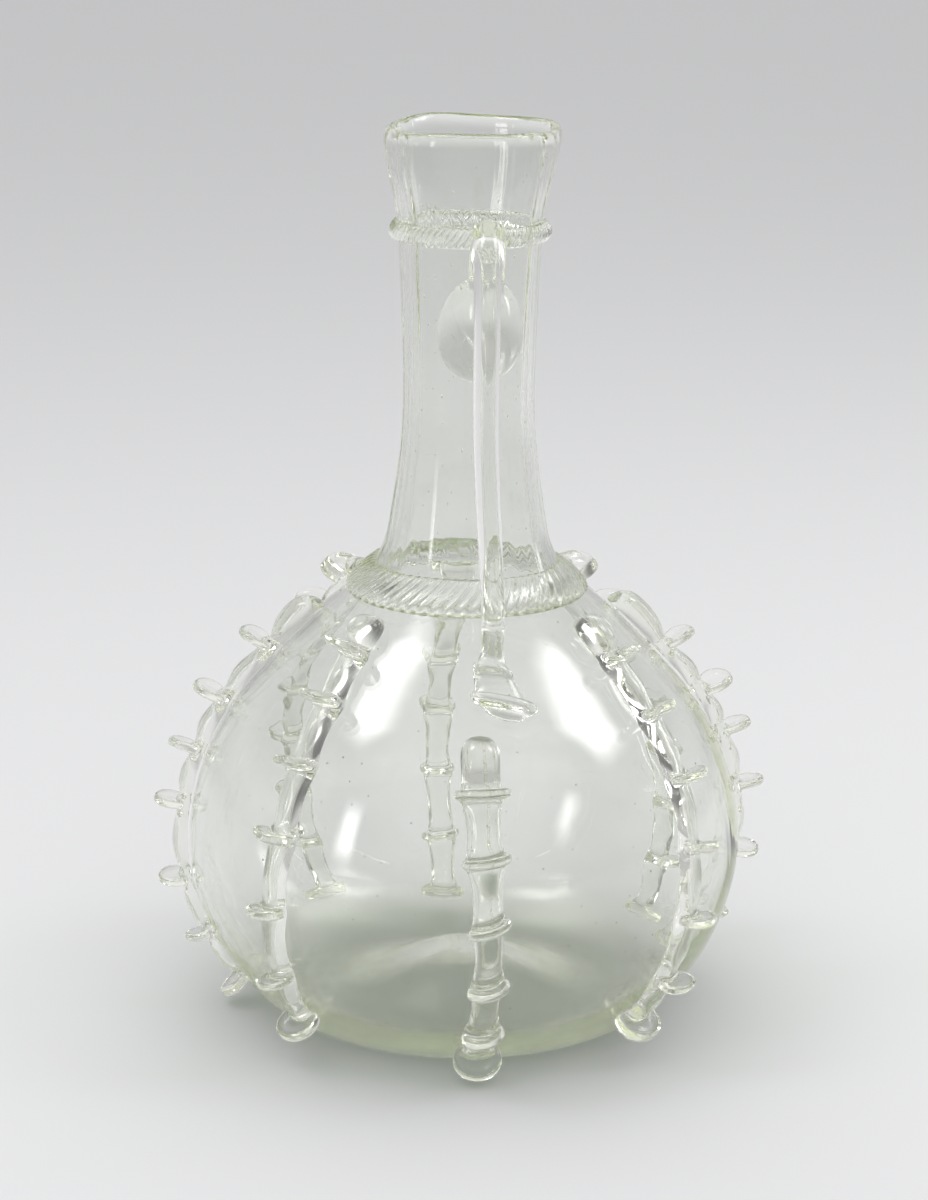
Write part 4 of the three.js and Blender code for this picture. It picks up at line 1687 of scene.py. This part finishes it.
def make_trails(finish: Material) -> list[PinchedTrail]:
    """Lists the eight trails as they lie round the globe, from the front towards +X.

    Args:
        finish: The material that they share.

    Returns:
        The trails.
    """
    rows = (
        (0, 0, 38, spaced(54.5, 122, 5), 134, (14, 13.1, 10.8, 10.6, 11.3)),
        (49.5, -6.5, 6, spaced(21, 112.5, 6), 127, spaced(10.2, 9.2, 6)),
        (95, 6, 9, (31.4, 48.5, 62.3, 79.2, 98.5, 118), 133, spaced(10.8, 9.6, 6)),
        (135, -14, 3, spaced(12, 113, 7), 129, spaced(10.8, 10, 7)),
        (180, 2, 5, spaced(18, 114, 6), 131, spaced(11.6, 10.4, 6)),
        (225, -11, 3, spaced(12, 112, 7), 128, spaced(10.8, 10, 7)),
        (270, 1, 8, (27.5, 47, 63.2, 78.6, 99.7, 117.5), 134, spaced(10.8, 9.6, 6)),
        (317, -1, 4.5, spaced(17, 111, 6, 1.1), 127, spaced(11.4, 10.2, 6)),
    )
    own = {
        1: {
            "slants": (-0.04, -0.14, -0.3, -0.26, -0.22),
            "shoulder_share": 0.77,
            "bell_share": 0.77,
        },
        2: {"fin_stand": 11.6, "thinning": 0.08, "toe_shift": -3.0},
        4: {"first_thickness": 4.2},
        6: {"first_thickness": 6.2},
        7: {"thinning": 0.3},
        8: {"fin_stand": 12.0},
    }
    return [
        PinchedTrail(number, *row, finish=finish, **own.get(number, {}))
        for number, row in enumerate(rows, start=1)
    ]


def main() -> None:
    """Builds the carafe's pieces in order and sets them in the studio."""
    logging.basicConfig(level=logging.INFO, format="%(name)s: %(message)s")
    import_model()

    Studio().build()

    clear = GlassFinish(
        "blown_clear_glass",
        tint=(0.958, 0.966, 0.948),
        ripple=0.05,
        ripple_stretch=(70.0, 70.0, 9.0),
        density=9.0,
        foot_tint=(0.96, 0.965, 0.925),
    )
    milled = GlassFinish("milled_glass", density=8.0, haze=0.03)
    trailed = GlassFinish("trailed_glass", density=16.0)
    drawn = GlassFinish("drawn_handle_glass", density=8.0, haze=0.012, ripple=0.03)

    Vessel(clear).build()
    MilledBand(
        "neck_ring", "neck_thread", top=227.5, bottom=222.1, stand=3.2, upper_stand=1.1,
        lower_stand=1.1, notches=68, notch_depth=1.9, lean_degrees=9.0, finish=milled,
        lap_direction=213.0,
    ).build()
    MilledBand(
        "shoulder_band", "shoulder_collar", top=131.5, bottom=123.1, stand=3.0,
        upper_stand=1.0, lower_stand=1.7, notches=60, notch_depth=1.3, lean_degrees=14.0,
        finish=milled,
    ).build()
    Handle(drawn).build()
    for trail in make_trails(trailed.build()):
        trail.build()

    deselect()


if __name__ == "__main__":
    main()
